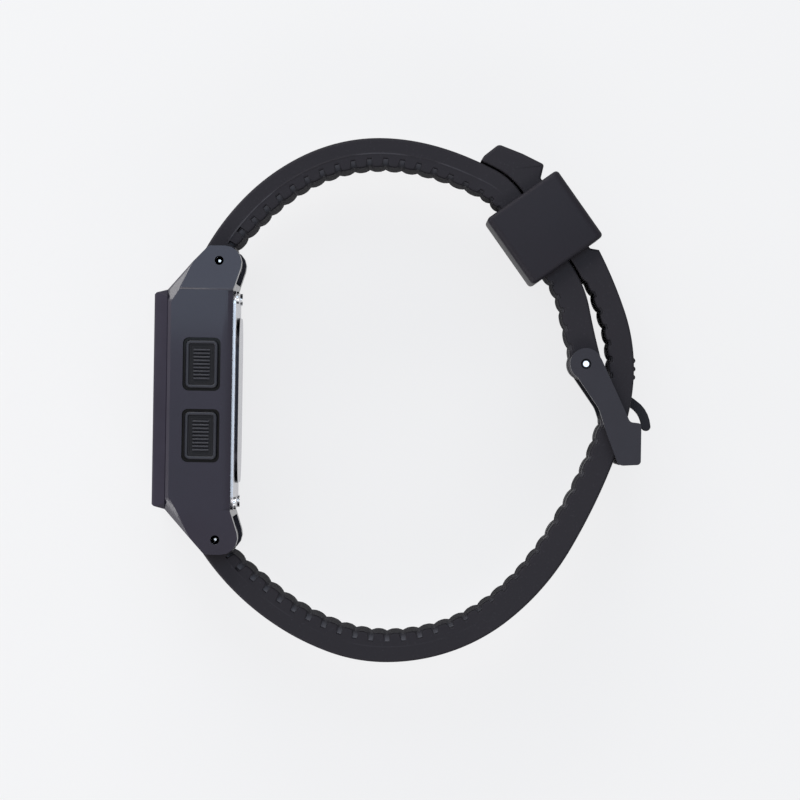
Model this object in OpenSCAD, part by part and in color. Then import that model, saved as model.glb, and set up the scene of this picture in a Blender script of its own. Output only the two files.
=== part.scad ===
// Digital watch with its rubber strap buckled, lying on its 9 o'clock side.
// The dial faces -X, 12 o'clock is +Y and the 3 o'clock side is +Z.
// Sizes are millimetres. Inside the modules x = 0 is the front of the bezel,
// y = 0 the middle of the dial and z = 0 the middle of the case width.

/* [Case] */
// Width of the case from 9 to 3 o'clock
case_w = 37; // [36:0.5:40]
// Height of the case body between the lug roots
case_h = 33.8; // [33:0.2:36]
// Depth of the mid case from front to back
case_t = 10.1; // [10:0.1:11.5]
// How far the lugs reach past their roots
lug_reach = 6.9; // [6.7:0.1:8]
// Space between the two lugs of a pair
lug_gap = 26; // [24:0.5:27]
// Depth at which the sloping front edge of a lug reaches its tip
lug_front = 6.2; // [5:0.1:7]
// How far the lug tips lean behind the mid case
lug_back = 2.2; // [1:0.1:2.6]
// Round of the wrist-side corner of a lug
lug_r = 2.6; // [1.5:0.1:3]
// Width of the chamfer between the sides and the back of the case
back_chamfer = 1.2; // [0.6:0.1:1.5]
// How far that chamfer leans in at the back
back_lean = 0.5; // [0.3:0.1:1.2]
// Chamfer between the sides and the front of the case
front_chamfer = 0.6; // [0.3:0.1:0.9]
// Widest part of the tapering chamfer along the lug fronts
lug_chamfer = 1.5; // [0.8:0.1:2]
// How much each lug narrows from its root to its tip
lug_taper = 0.8; // [0.2:0.1:1.2]
// How far the wall that faces the strap stands out past the lug roots
end_step = 1.1; // [0.8:0.1:1.4]
// Thickness of the side walls that the pushers pass through
side_wall = 4.3; // [4.2:0.1:4.6]
// Thickness of the end walls at the lug roots
root_wall = 2.7; // [2.6:0.1:2.9]

/* [Bezel and glass] */
// Thickness of the bezel
bezel_t = 2; // [1.8:0.1:2.4]
// How far the bezel's front face stays inside the case at the top and bottom
bezel_in = 0.45; // [0.4:0.05:0.9]
// How far it stays inside the case at the sides
bezel_side = 1.2; // [1:0.1:1.6]
// Cut corner of the bezel
bezel_corner = 1; // [0.6:0.1:2]
// Width of the bezel's face above and below the window
band_h = 4.15; // [4:0.05:5]
// Width of the bezel's face beside the window
band_w = 4.2; // [4:0.1:5]
// Depth of the glass below the front of the bezel
glass_inset = 0.5; // [0.2:0.1:0.8]
// Width of the ledge of the glass under the bezel
glass_ledge = 1.3; // [1:0.1:1.5]
// Thickness of that ledge
ledge_t = 0.8; // [0.6:0.1:1]
// Thickness of the glass gasket
glass_gasket_t = 0.4; // [0.3:0.05:0.5]
// Wall of the mid case in front of the display
front_wall = 0.7; // [0.6:0.1:0.9]

/* [Module] */
// Thickness of the display mask
mask_t = 0.3; // [0.2:0.05:0.4]
// Space between the cavity wall and the display cell, above and below
cell_gap_h = 1.6; // [1.3:0.1:2]
// Space beside the display cell
cell_gap_w = 2.4; // [2.2:0.1:2.8]
// Thickness of the display cell
lcd_t = 1.6; // [1.2:0.1:1.8]
// Thickness of the backlight panel
backlight_t = 0.5; // [0.3:0.1:0.6]
// Width of each contact strip of the display
connector_w = 1.2; // [0.8:0.1:1.4]
// Thickness of the circuit board
board_t = 0.8; // [0.6:0.1:1]
// Height and width of the driver chip
chip_h = 3.6; // [3:0.1:4]
chip_w = 5; // [4:0.1:6]
// Diameter and length of the quartz crystal's can
quartz_d = 1.6; // [1.4:0.1:2]
quartz_l = 6; // [5:0.1:6.4]
// Diameter of the battery
battery_d = 16; // [14:0.5:16]
// Thickness of the battery
battery_t = 2.5; // [1.6:0.1:2.6]
// Space between the battery and the lower wall of the cavity
battery_room = 2.2; // [2:0.1:3]
// How far the module frame steps in behind the display, each side
frame_step = 1; // [0.8:0.1:1.2]
// Width of a pusher contact
contact_w = 2.4; // [2:0.1:2.8]
// Diameter of the buzzer disc
buzzer_d = 19; // [17:0.5:20]
// Thickness of the buzzer disc
buzzer_t = 0.3; // [0.2:0.05:0.4]
// Thickness of thin steel parts such as clips and contacts
sheet_t = 0.25; // [0.2:0.05:0.3]

/* [Case back] */
// Thickness of the case back plate
back_t = 0.4; // [0.35:0.05:0.6]
// How far the case back plate stays inside the sides of the case
back_side = 2; // [1.6:0.1:2.4]
// How far the middle of the case back stands proud
dome_t = 0.5; // [0.4:0.05:0.7]
// Height and width of that raised middle
dome_size = 25.6; // [24:0.2:27]
// Distance of a case back screw from the cavity
screw_out = 1.7; // [1.6:0.05:1.8]
// Distance between the left and right case back screws
screw_w = 23; // [22:0.5:24]
// Diameter of a case back screw head
screw_head_d = 1.9; // [1.6:0.1:2.1]
// Diameter and length of a case back screw thread
screw_d = 1.2; // [1:0.05:1.3]
screw_l = 3.6; // [3:0.1:3.8]
// Width of the case back gasket
gasket_w = 0.6; // [0.4:0.05:0.7]

/* [Pushers] */
// Distance of each pusher from the middle of the dial
pusher_y = 5.5; // [5:0.1:6]
// Distance of the pushers behind the front of the mid case
pusher_depth = 5.4; // [5.2:0.1:5.6]
// Length of a pusher face
pusher_h = 7.4; // [6:0.1:7.8]
// Width of a pusher face
pusher_w = 5; // [4:0.1:5.2]
// Gap around a pusher in its well
pusher_gap = 0.4; // [0.25:0.05:0.5]
// Depth of the well
well_depth = 2; // [1.8:0.1:2.2]
// Travel of a pusher
travel = 0.8; // [0.5:0.05:0.9]
// Diameter of a pusher stem
stem_d = 1.6; // [1.2:0.1:1.8]
// Number of ribs on a pusher face
pusher_ribs = 9; // [5:1:11]
// Distance from rib to rib on a pusher face
pusher_rib_pitch = 0.55; // [0.4:0.05:0.6]
// Wire of the pusher's return spring
return_wire = 0.25; // [0.2:0.05:0.3]
// Turns of the pusher's return spring
return_turns = 3; // [2:1:4]

/* [Spring bars] */
// Distance of a spring bar from the lug tip
bar_from_tip = 2.3; // [2.2:0.05:2.6]
// Distance of a spring bar in front of the back of the mid case
bar_from_back = 2.25; // [2:0.05:2.5]
// Diameter of a spring bar's tube
bar_d = 1.8; // [1.5:0.1:2]
// Diameter of a spring bar's tips
bar_tip_d = 1.3; // [1:0.05:1.35]
// Length of a tip that stands in its lug
bar_reach = 1.6; // [1.2:0.1:1.8]
// Diameter of the holes drilled through the lugs
lug_hole_d = 1.4; // [1.4:0.05:1.6]

/* [Strap] */
// Thickness of the strap over its ribs
strap_t = 4.5; // [3.8:0.1:4.6]
// Thickness of the strap where it leaves the case
strap_t_case = 3.9; // [3.2:0.1:4.2]
// Thickness of the long strap's tail
tail_t = 3.9; // [3.4:0.1:4]
// Width of the strap at the buckle
strap_w = 20; // [18:0.5:21]
// Distance from rib to rib inside the strap
rib_pitch = 2.9; // [2.4:0.1:3.6]
// Height of those ribs
rib_h = 0.6; // [0.3:0.05:0.7]
// Radius of the strap's ends round the spring bars
knuckle_r = 2.9; // [2.6:0.05:3]
// Radius of the short strap's end round the buckle pin
pin_round = 2.5; // [2.4:0.05:2.8]
// Height of the strap's highest point over the middle of the dial
loop_top = 41; // [40:0.5:43]
// Depth of its lowest point below the middle of the dial
loop_bottom = 40.2; // [39:0.5:42]
// Distance of those two points behind the front of the bezel
loop_mid = 35.4; // [34:0.2:37]
// Distance of the buckle pin behind the front of the bezel
pin_x = 66.7; // [66:0.1:68]
// Height of the buckle pin over the middle of the dial
pin_y = 6.5; // [6:0.1:7]
// Distance from one strap hole to the next
hole_pitch = 6.2; // [6:0.1:7]
// Holes below and above the one in use
holes_below = 4; // [2:1:5]
holes_above = 1; // [0:1:2]
// Length and width of a strap hole
hole_l = 3; // [2.4:0.1:3.4]
hole_w = 3.6; // [3.4:0.1:4]
// Radius and length of the three small ribs beside the hole in use
pip_r = 0.45; // [0.3:0.05:0.6]
pip_l = 8; // [4:0.5:10]

/* [Keeper] */
// Distance of the keeper behind the front of the bezel
keeper_x = 60; // [59.6:0.1:60.4]
// How far the keeper lies below the highest point of the strap
keeper_drop = 13.5; // [13.1:0.1:13.9]
// Slope of the keeper
keeper_turn = -54; // [-56:0.5:-52]
// Length of the keeper along the strap
keeper_l = 12.5; // [10:0.1:12.8]
// Height of the keeper across the strap
keeper_h = 13.4; // [13:0.1:14.5]
// Thickness of the keeper's side walls
keeper_side = 2.2; // [1.6:0.1:2.6]
// Play of the keeper in its notch, each way
keeper_play = 0.3; // [0.2:0.05:0.4]
// Distance of the short strap's outer face from the middle of the keeper
lap_line = 0.15; // [-0.2:0.05:0.5]
// Thickness of the tail inside the keeper
notch_t = 3.5; // [3:0.1:3.7]
// Length of the tail's thick head past the keeper
head_l = 8.2; // [6:0.1:8.6]
// How far the head stands over the notch
head_lift = 1.65; // [1:0.05:2]

/* [Buckle] */
// Diameter of the buckle pin
pin_d = 1.2; // [1:0.05:1.4]
// Radius of the arms round the pin
arm_r = 2.45; // [2.2:0.05:2.6]
// Thickness of a buckle arm
arm_t = 2.2; // [1.6:0.1:2.6]
// Height of the end bar
bar_h = 6.4; // [5.5:0.1:6.6]
// Distance from the pin to the outer edge of the end bar
bar_edge = 8.7; // [8.5:0.05:8.8]
// Distance of the top of the end bar below the pin
bar_top = 9.1; // [9:0.05:9.3]
// Thickness of the tongue
tongue_t = 1.4; // [1.2:0.1:1.6]
// Width of the tongue
tongue_w = 3; // [2:0.1:3.1]
// Swing of the frame and the tongue together
swing = 8; // [4:1:9]

/* [Fits] */
// Gap between parts that slide or turn on each other
run_gap = 0.05; // [0.03:0.01:0.08]
// Gap between parts that are only set beside each other
set_gap = 0.1; // [0.05:0.01:0.15]
// Gap between the strap and the hard parts round it
soft_gap = 0.3; // [0.2:0.05:0.35]

/* [Hidden] */
$fn = 48;

// Heights and widths that follow the case
lug_to_lug = case_h + 2 * lug_reach;
end_wall = case_h / 2 + end_step;
bezel_h = case_h - 2 * bezel_in;
bezel_w = case_w - 2 * bezel_side;
window_h = bezel_h - 2 * band_h;
window_w = bezel_w - 2 * band_w;
cavity_h = case_h - 2 * root_wall;
cavity_w = case_w - 2 * side_wall;
lcd_h = cavity_h - 2 * cell_gap_h;
lcd_w = cavity_w - 2 * cell_gap_w;
frame_w = lcd_w - 2 * frame_step;
battery_y = battery_room + battery_d / 2 - cavity_h / 2;
back_h = case_h;
back_w = case_w - 2 * back_side;
screw_span = cavity_h + 2 * screw_out;
buzzer_at = (buzzer_d / 2 - 2) * sqrt(0.5);

// Depths behind the front of the bezel
front_x = bezel_t;
ledge_x = front_x + ledge_t;
recess_x = ledge_x + glass_gasket_t;
cavity_x = recess_x + front_wall;
lcd_x = cavity_x + mask_t + set_gap / 2;
backlight_x = lcd_x + lcd_t;
board_x = backlight_x + backlight_t + 0.25;
battery_x = board_x + board_t + 0.55;
clip_x = battery_x + battery_t + set_gap / 2;
frame_x = clip_x - set_gap;
back_x = front_x + case_t;
dome_x = back_x + back_t + dome_t;
pusher_x = front_x + pusher_depth;

// Spring bars
bar_x = back_x - bar_from_back;
bar_y = lug_to_lug / 2 - bar_from_tip;
bar_half = lug_gap / 2 - 0.4;
tip_travel = bar_reach + 0.1;
tip_shank = tip_travel + 0.5;
tip_cone = 0.45;

// Strap widths and the planes of the buckle arms
strap_w_case = lug_gap - 2 * soft_gap;
arm_z = strap_w / 2 + soft_gap;
pin_seat = arm_t / 2;
keeper_half = strap_w / 2 + soft_gap + keeper_side;
keeper_y = loop_top - keeper_drop;

// Middle of the object's box, which stands over the origin
tongue_end = [9.85, -10.3];
box_x = (pin_x + tongue_end.x + tongue_t / 2) / 2;
box_y = (loop_top - loop_bottom) / 2;

// Small helpers for plane geometry
function dir(a) = [cos(a), sin(a)];
function left_of(a) = [-sin(a), cos(a)];
function unit(v) = v / norm(v);
function wrap(a) = a - 360 * round(a / 360);

// Rounded corner of an outline, as points on its arc
function fillet(a, p, b, r, n = 5) =
    let (u = unit(a - p), v = unit(b - p), half = acos(u * v) / 2, c = p + unit(u + v) * r / sin(half),
        s = p + u * r / tan(half) - c, e = p + v * r / tan(half) - c,
        from = atan2(s.y, s.x), turn = wrap(atan2(e.y, e.x) - from))
    [for (i = [0:n]) c + r * dir(from + turn * i / n)];

// Outline with a radius for each corner
function rounded(pts, r) =
    let (n = len(pts))
    [for (i = [0:n - 1]) each r[i] == 0 ? [pts[i]]
        : fillet(pts[(i + n - 1) % n], pts[i], pts[(i + 1) % n], r[i])];

// Arc that leaves p at heading a and ends at q, as [p, a, turn, length]
function arc_to(p, a, q) =
    let (v = q - p, half = wrap(atan2(v.y, v.x) - a), k = half * PI / 180)
    [p, a, 2 * half, abs(half) < 0.01 ? norm(v) : norm(v) * k / sin(half)];
function arc_at(c, t) =
    let (half = c[2] / 2 * t / c[3], k = c[2] / 2 * PI / 180)
    let (p = c[0] + (abs(c[2]) < 0.02 ? t : c[3] * sin(half) / k) * dir(c[1] + half))
    [p.x, p.y, c[1] + 2 * half];

// Two arcs that join two poses, each pose being [x, y, heading]
function biarc(a, b) =
    let (p = [a.x, a.y], q = [b.x, b.y], t = dir(a.z), u = dir(b.z), v = q - p,
        w = 2 * (1 - t * u), m = v * (t + u),
        d = w < 0.0001 ? v * v / (2 * m) * 1 : (sqrt(m * m + w * (v * v)) - m) / w,
        mid = (p + q + d * (t - u)) / 2, first = arc_to(p, a.z, mid))
    [first, arc_to(mid, a.z + first[2], q)];
function route(poses) = [for (i = [0:len(poses) - 2]) each biarc(poses[i], poses[i + 1])];
function route_l(path, n = 0) = n == len(path) ? 0 : path[n][3] + route_l(path, n + 1);

// Pose [x, y, heading] at distance s along a route
function along(path, s, i = 0) =
    i == len(path) - 1 || s <= path[i][3] ? arc_at(path[i], s) : along(path, s - path[i][3], i + 1);

// Point beside a route: d to the left of it at distance s
function beside(path, s, d) = let (p = along(path, s)) [p.x, p.y] + d * left_of(p.z);

// Distance along a route that lies nearest to a point
function nearest(path, p, step = 0.1) =
    let (n = floor(route_l(path) / step),
        all = [for (i = [0:n]) norm(beside(path, i * step, 0) - p)])
    step * search(min(all), all)[0];

// Scallops across the strap: 0 in a groove and 1 on a rib
function scallop(s) = pow(abs(sin(180 * s / rib_pitch)), 0.6);

// Keeper frame: x along the strap and y outwards, as a point of the watch
function in_keeper(x, y) = [keeper_x, keeper_y] + x * dir(keeper_turn) + y * left_of(keeper_turn);
function pose(p, a) = [p.x, p.y, a];
pin = [pin_x, pin_y];
notch_half = keeper_l / 2 + keeper_play + 0.1;

// Outer face of the short strap, from the upper spring bar to the buckle pin
short_turn = 62;
short_end = -74;
short_from = [bar_x, bar_y] + knuckle_r * left_of(short_turn);
short_to = pin + pin_round * left_of(short_end);
short_route = route([pose(short_from, short_turn), [loop_mid - 13.3, loop_top - 3.1, 27.5],
    [loop_mid - 0.8, loop_top, 0], [loop_mid + 11.6, loop_top - 2.35, -20.5],
    pose(in_keeper(-notch_half, lap_line), keeper_turn),
    pose(in_keeper(notch_half, lap_line), keeper_turn),
    pose(short_to, short_end)]);
short_l = route_l(short_route);

// Outer face of the long strap, from the lower spring bar to the step before the keeper
long_turn = -56;
long_from = [bar_x, -bar_y] - knuckle_r * left_of(long_turn);
cross_pose = [pin_x + 4.3, pin_y - 15.7, 69];
side_pose = [pin_x + 7.5, pin_y - 1.9, 88];
lap_y = lap_line + soft_gap;
step_pose = pose(in_keeper(notch_half + 1, lap_y + notch_t + 1), keeper_turn + 172);
long_route = route([pose(long_from, long_turn), [loop_mid - 15.6, 5.2 - loop_bottom, -32],
    [loop_mid + 0.8, -loop_bottom, 0], [loop_mid + 19.9, 6.7 - loop_bottom, 39],
    cross_pose, side_pose, step_pose]);
long_l = route_l(long_route);

// Hole in use, and the tongue that passes through it
tongue_turn = -40;
tongue_mid = pin + [8, -6.25];
tongue_route = route([pose(pin, tongue_turn), pose(tongue_mid, tongue_turn + 5),
    pose(pin + tongue_end, -93)]);
tongue_l = route_l(tongue_route);
used_hole = nearest(long_route, pin + 8.6 * dir(tongue_turn + swing / 2));

// Thickness of each strap at distance s along its outer face
function ramp(s, a, b) = min(1, max(0, (s - a) / (b - a)));
function short_t(s) = strap_t_case + (strap_t - strap_t_case) * ramp(s, 3, 10);
function long_t(s) = strap_t_case + (strap_t - strap_t_case) * ramp(s, 3, 10)
    - (strap_t - tail_t) * ramp(s, used_hole - 30, used_hole - 10);

// Places an object's parts over the origin, with the 9 o'clock side on z = 0
module seated() {
    translate([-box_x, -box_y, case_w / 2])
        children();
}

// Extrusions of (y, z) shapes along X and of (x, z) shapes along Y
module along_x(x, h) {
    translate([x, 0, 0])
        rotate([90, 0, 90])
            linear_extrude(h)
                children();
}

module along_y(h) {
    translate([0, h / 2, 0])
        rotate([90, 0, 0])
            linear_extrude(h)
                children();
}

module block(h, w, r = 0.6) {
    polygon(rounded([[-h / 2, -w / 2], [h / 2, -w / 2], [h / 2, w / 2], [-h / 2, w / 2]], [r, r, r, r]));
}

module ring(h, w, wall, r = 0.6) {
    difference() {
        block(h, w, r);
        block(h - 2 * wall, w - 2 * wall, max(0.1, r - wall));
    }
}

module four() {
    for (up = [0, 1], right = [0, 1])
        mirror([0, up, 0])
            mirror([0, 0, right])
                children();
}

// Closed coil of round wire along Z, with its ends at 0 and h
module coil(r, wire, h, turns, steps = 8, sides = 5) {
    n = turns * steps;
    rings = [for (i = [0:n]) let (a = 360 * i / steps, z = wire / 2 + (h - wire) * i / n)
        [for (k = [0:sides - 1]) let (b = 360 * k / sides, q = r + wire / 2 * cos(b))
            [q * cos(a), q * sin(a), z + wire / 2 * sin(b)]]];
    tube(rings, sides);
}

// Skin over a row of rings of points, closed at both ends
module tube(rings, sides) {
    n = len(rings) - 1;
    polyhedron([for (ring = rings) each ring],
        concat([[for (k = [sides - 1:-1:0]) k]],
            [for (i = [0:n - 1], k = [0:sides - 1], half = [0, 1])
                let (a = i * sides + k, b = i * sides + (k + 1) % sides)
                half == 0 ? [a, b + sides, a + sides] : [a, b, b + sides]],
            [[for (k = [0:sides - 1]) n * sides + k]]));
}

// Case

lug_slope = atan2(lug_to_lug - case_h, 2 * lug_front);
lug_side = lug_front / cos(lug_slope);

module case_outline() {
    tip = lug_to_lug / 2;
    half = case_h / 2;
    polygon(rounded([[front_x, -half], [front_x + lug_front, -tip], [back_x + lug_back, -tip],
        [back_x, -half - 0.2], [back_x, half + 0.2], [back_x + lug_back, tip],
        [front_x + lug_front, tip], [front_x, half]],
        [0, 0.9, lug_r, 0, 0, lug_r, 0.9, 0]));
}

module case_side() {
    half = case_w / 2;
    f = half - front_chamfer;
    polygon([[front_x, -f], [front_x + front_chamfer, -half], [back_x + lug_back, -half],
        [back_x + lug_back, half], [front_x + front_chamfer, half], [front_x, f]]);
}

// Cuts the chamfer along the back, which ends at the lug roots
module back_bevel() {
    run = [back_chamfer, -back_lean];
    a = [back_x, case_w / 2] - [2 * back_chamfer, -back_lean];
    b = a + 3 * run;
    along_y(case_h)
        polygon([a, b, [b.x, a.y]]);
}

module case_front() {
    half = case_w / 2;
    tip = lug_to_lug / 2;
    root = case_h / 2;
    thin = half - lug_taper;
    polygon([[-tip, -thin], [-root, -half], [root, -half], [tip, -thin],
        [tip, thin], [root, half], [-root, half], [-tip, thin]]);
}

// Cuts the chamfer that widens from the lug tip to the corner of the bezel
module lug_bevel() {
    fall = atan2(lug_chamfer * sqrt(0.5), lug_side);
    translate([front_x, case_h / 2, case_w / 2])
        rotate([0, 0, lug_slope])
            translate([lug_side, 0, 0])
                rotate([45, 0, 0])
                    rotate([0, 0, fall])
                        translate([-3 * lug_side, 0, -lug_side])
                            cube([4 * lug_side, lug_side, 2 * lug_side]);
}

module pusher_wells() {
    for (side = [-1, 1], row = [-1, 1])
        at_pusher(side, row) {
            translate([0, 0, -well_depth])
                linear_extrude(well_depth + 1)
                    block(pusher_w + 2 * pusher_gap, pusher_h + 2 * pusher_gap, 0.9);
            translate([0, 0, -spring_seat])
                cylinder(d = spring_bore, h = spring_seat);
            translate([0, 0, -case_w / 2])
                cylinder(d = stem_d + 2 * run_gap, h = case_w / 2);
            translate([0, 0, -wall_in - 0.5])
                cylinder(d = seal_bore, h = 0.5 + seal_depth);
        }
}

module screw_places() {
    for (y = [-1, 1], z = [-1, 1])
        translate([0, y * screw_span / 2, z * screw_w / 2])
            rotate([0, 90, 0])
                children();
}

module case_body() {
    color("#494c59")
        difference() {
            intersection() {
                translate([0, 0, -case_w / 2])
                    linear_extrude(case_w)
                        case_outline();
                along_y(lug_to_lug)
                    case_side();
                along_x(0, back_x + lug_back + 1)
                    case_front();
            }
            four()
                lug_bevel();
            for (side = [0, 1])
                mirror([0, 0, side])
                    back_bevel();
            for (up = [0, 1])
                mirror([0, up, 0])
                    translate([0, end_wall, -lug_gap / 2])
                        cube([2 * back_x, lug_to_lug, lug_gap]);
            along_x(front_x - 1, ledge_t + glass_gasket_t + 1)
                block(window_h + 2 * glass_ledge + set_gap, window_w + 2 * glass_ledge + set_gap, 1);
            along_x(0, back_x)
                block(window_h - 1, window_w - 1, 1);
            along_x(cavity_x, case_t)
                block(cavity_h, cavity_w, 1.5);
            along_x(back_x - gasket_w, case_t)
                block(cavity_h + 2 * gasket_w, cavity_w + 2 * gasket_w, 1.8);
            pusher_wells();
            for (y = [-1, 1])
                translate([bar_x, y * bar_y, -case_w])
                    cylinder(d = lug_hole_d, h = 2 * case_w);
            translate([back_x - screw_l - 0.4, 0, 0])
                screw_places()
                    cylinder(d = screw_d + set_gap / 2, h = screw_l + 1);
        }
}

module bezel() {
    // The sides flare from the front face to the mid case
    h = bezel_h / 2;
    w = bezel_w / 2;
    wide_h = case_h / 2;
    wide_w = w + 0.7;
    c = bezel_corner;
    color("#3f424d")
        difference() {
            intersection() {
                translate([0, 0, -case_w])
                    linear_extrude(2 * case_w)
                        polygon([[0, -h + 0.3], [0.3, -h], [bezel_t, -wide_h], [bezel_t, wide_h],
                            [0.3, h], [0, h - 0.3]]);
                along_y(lug_to_lug)
                    polygon([[0, -w + 0.3], [0.3, -w], [bezel_t, -wide_w], [bezel_t, wide_w],
                        [0.3, w], [0, w - 0.3]]);
                along_x(0, bezel_t)
                    polygon([[-wide_h, -wide_w + c], [-wide_h + c, -wide_w], [wide_h - c, -wide_w],
                        [wide_h, -wide_w + c], [wide_h, wide_w - c], [wide_h - c, wide_w],
                        [-wide_h + c, wide_w], [-wide_h, wide_w - c]]);
            }
            along_x(-1, bezel_t + 2)
                block(window_h, window_w, 1.2);
        }
}

module crystal() {
    color("#9fb0b8")
        union() {
            along_x(glass_inset, front_x - glass_inset + ledge_t)
                block(window_h - set_gap, window_w - set_gap, 1.15);
            along_x(front_x, ledge_t)
                block(window_h + 2 * glass_ledge - set_gap, window_w + 2 * glass_ledge - set_gap, 0.9);
        }
}

module crystal_gasket() {
    color("#1c1c1e")
        along_x(ledge_x, glass_gasket_t)
            ring(window_h + 2 * glass_ledge - set_gap, window_w + 2 * glass_ledge - set_gap,
                glass_ledge - set_gap, 0.9);
}

// Module

module display_mask() {
    color("#202226")
        along_x(cavity_x, mask_t)
            difference() {
                block(cavity_h - 4 * set_gap, cavity_w - 4 * set_gap, 1.3);
                block(0.72 * lcd_h, 0.84 * lcd_w, 0.8);
            }
}

module lcd_cell() {
    // The rear glass is longer, and its ends carry the contacts
    color("#a9b19c")
        union() {
            along_x(lcd_x, lcd_t / 2)
                square([lcd_h - 4 * connector_w, lcd_w], center = true);
            along_x(lcd_x + lcd_t / 2, lcd_t / 2)
                square([lcd_h, lcd_w], center = true);
        }
}

module backlight_panel() {
    color("#dfe7e4")
        along_x(backlight_x, backlight_t)
            square([lcd_h - 2 * connector_w - 4 * set_gap, lcd_w - 2], center = true);
}

module display_connectors() {
    color("#d99bb0")
        for (y = [-1, 1])
            translate([backlight_x, y * (lcd_h - connector_w) / 2 - connector_w / 2, -lcd_w / 2 + 1.5])
                cube([board_x - backlight_x, connector_w, lcd_w - 3]);
}

module module_frame() {
    wide = cavity_h - 1;
    room = lcd_w + 2 * set_gap;
    color("#e9e9e4")
        difference() {
            union() {
                along_x(lcd_x, board_x - lcd_x)
                    block(wide, lcd_w + 1.6, 1);
                along_x(board_x - 0.1, frame_x - board_x + 0.1)
                    block(wide, frame_w, 1);
            }
            along_x(lcd_x - 1, backlight_x + backlight_t + 1.1 - lcd_x)
                square([lcd_h + 2 * set_gap, room], center = true);
            along_x(backlight_x, board_x + board_t - backlight_x)
                square([lcd_h + 2 * set_gap, frame_w - 0.8], center = true);
            translate([board_x, battery_y, 0])
                rotate([0, 90, 0])
                    cylinder(d = battery_d + 2 * set_gap, h = case_t);
            along_x(board_x, case_t)
                translate([lcd_h / 4 + 1.5, 0])
                    square([lcd_h / 2 - 3, frame_w - 1.2], center = true);
        }
}

module circuit_board() {
    color("#2c6e4f")
        along_x(board_x, board_t)
            square([lcd_h, frame_w - 1.2], center = true);
}

chip_y = lcd_h / 2 - chip_h / 2 - 0.6;

module driver_chip() {
    color("#17181a")
        along_x(board_x + board_t, 1)
            translate([chip_y, -chip_w])
                square([chip_h, chip_w], center = true);
}

module quartz_crystal() {
    color("#c9ccce")
        translate([board_x + board_t + quartz_d / 2, chip_y, 1])
            cylinder(d = quartz_d, h = quartz_l);
}

module pusher_contacts() {
    // One bent leaf stands on the frame below each stem
    color("#d8c27a")
        for (side = [0, 1], row = [-1, 1])
            mirror([0, 0, side])
                translate([pusher_x - 0.7, row * pusher_y - contact_w / 2, frame_w / 2])
                    cube([contact_w, contact_w, sheet_t]);
}

module battery() {
    color("#c4c7ca")
        translate([battery_x, battery_y, 0])
            rotate([0, 90, 0])
                union() {
                    cylinder(d = battery_d - 1.6, h = battery_t);
                    translate([0, 0, 0.3])
                        cylinder(d = battery_d, h = battery_t - 0.3);
                }
}

module battery_clip() {
    color("#d0d3d6")
        along_x(clip_x, sheet_t)
            translate([battery_y, 0])
                difference() {
                    union() {
                        square([0.7 * battery_d, frame_w - 1], center = true);
                        translate([battery_d / 4, 0])
                            square([battery_d / 2, 0.3 * battery_d], center = true);
                    }
                    circle(d = battery_d / 4);
                }
}

module buzzer_disc() {
    color("#cfa85c")
        translate([back_x + dome_t - buzzer_t, 0, 0])
            rotate([0, 90, 0])
                cylinder(d = buzzer_d, h = buzzer_t);
}

module buzzer_spring() {
    color("#d8c27a")
        translate([board_x + board_t, buzzer_at, buzzer_at])
            rotate([0, 90, 0])
                coil(0.8, 0.2, back_x + dome_t - buzzer_t - board_x - board_t, 8);
}

// Case back

module back_gasket() {
    color("#1c1c1e")
        along_x(back_x - gasket_w, gasket_w)
            ring(cavity_h + 2 * gasket_w - set_gap, cavity_w + 2 * gasket_w - set_gap,
                gasket_w - set_gap, 1.7);
}

module case_back() {
    color("#c8cacc")
        difference() {
            union() {
                along_x(back_x, back_t)
                    block(back_h, back_w, 2);
                along_x(back_x, back_t + dome_t)
                    block(dome_size, dome_size, 6);
            }
            translate([back_x - 1, 0, 0])
                rotate([0, 90, 0])
                    cylinder(d = buzzer_d + 4 * set_gap, h = dome_t + 1);
            translate([back_x - 1, 0, 0])
                screw_places()
                    cylinder(d = screw_d + 2 * set_gap, h = back_t + 2);
        }
}

module back_screws() {
    color("#d4d6d8")
        translate([back_x - screw_l, 0, 0])
            screw_places()
                difference() {
                    union() {
                        cylinder(d = screw_d, h = screw_l + back_t);
                        translate([0, 0, screw_l + back_t])
                            cylinder(d = screw_head_d, h = 0.35);
                    }
                    translate([-screw_head_d, -0.15, screw_l + back_t + 0.15])
                        cube([2 * screw_head_d, 0.3, 1]);
                }
}

// Pushers: z = 0 of each is the case side, and z runs outwards

wall_in = side_wall;
spring_seat = well_depth + 1.1;
spring_bore = 3.4;
seal_bore = stem_d + 1.1;
seal_depth = 0.7;
cap_top = -0.1;
cap_t = well_depth - travel - 0.2 + cap_top;

module at_pusher(side, row) {
    translate([pusher_x, row * pusher_y, side * case_w / 2])
        mirror([0, 0, side < 0 ? 1 : 0])
            children();
}

// Face with a raised rim and a ribbed block in its middle
module pusher_face() {
    rib_l = pusher_ribs * pusher_rib_pitch;
    first = -rib_l / 2;
    linear_extrude(0.3)
        ring(pusher_w, pusher_h, 0.45, 0.8);
    translate([pusher_w * 0.25, 0, 0])
        rotate([0, -90, 0])
            linear_extrude(pusher_w / 2)
                polygon(concat([[-0.01, first]],
                    [for (i = [0:pusher_ribs - 1], k = [0:2])
                        let (y = first + (i + [0.15, 0.5, 0.85][k]) * pusher_rib_pitch)
                        [k == 1 ? 0.3 : 0.08, y]],
                    [[-0.01, -first]]));
}

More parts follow.
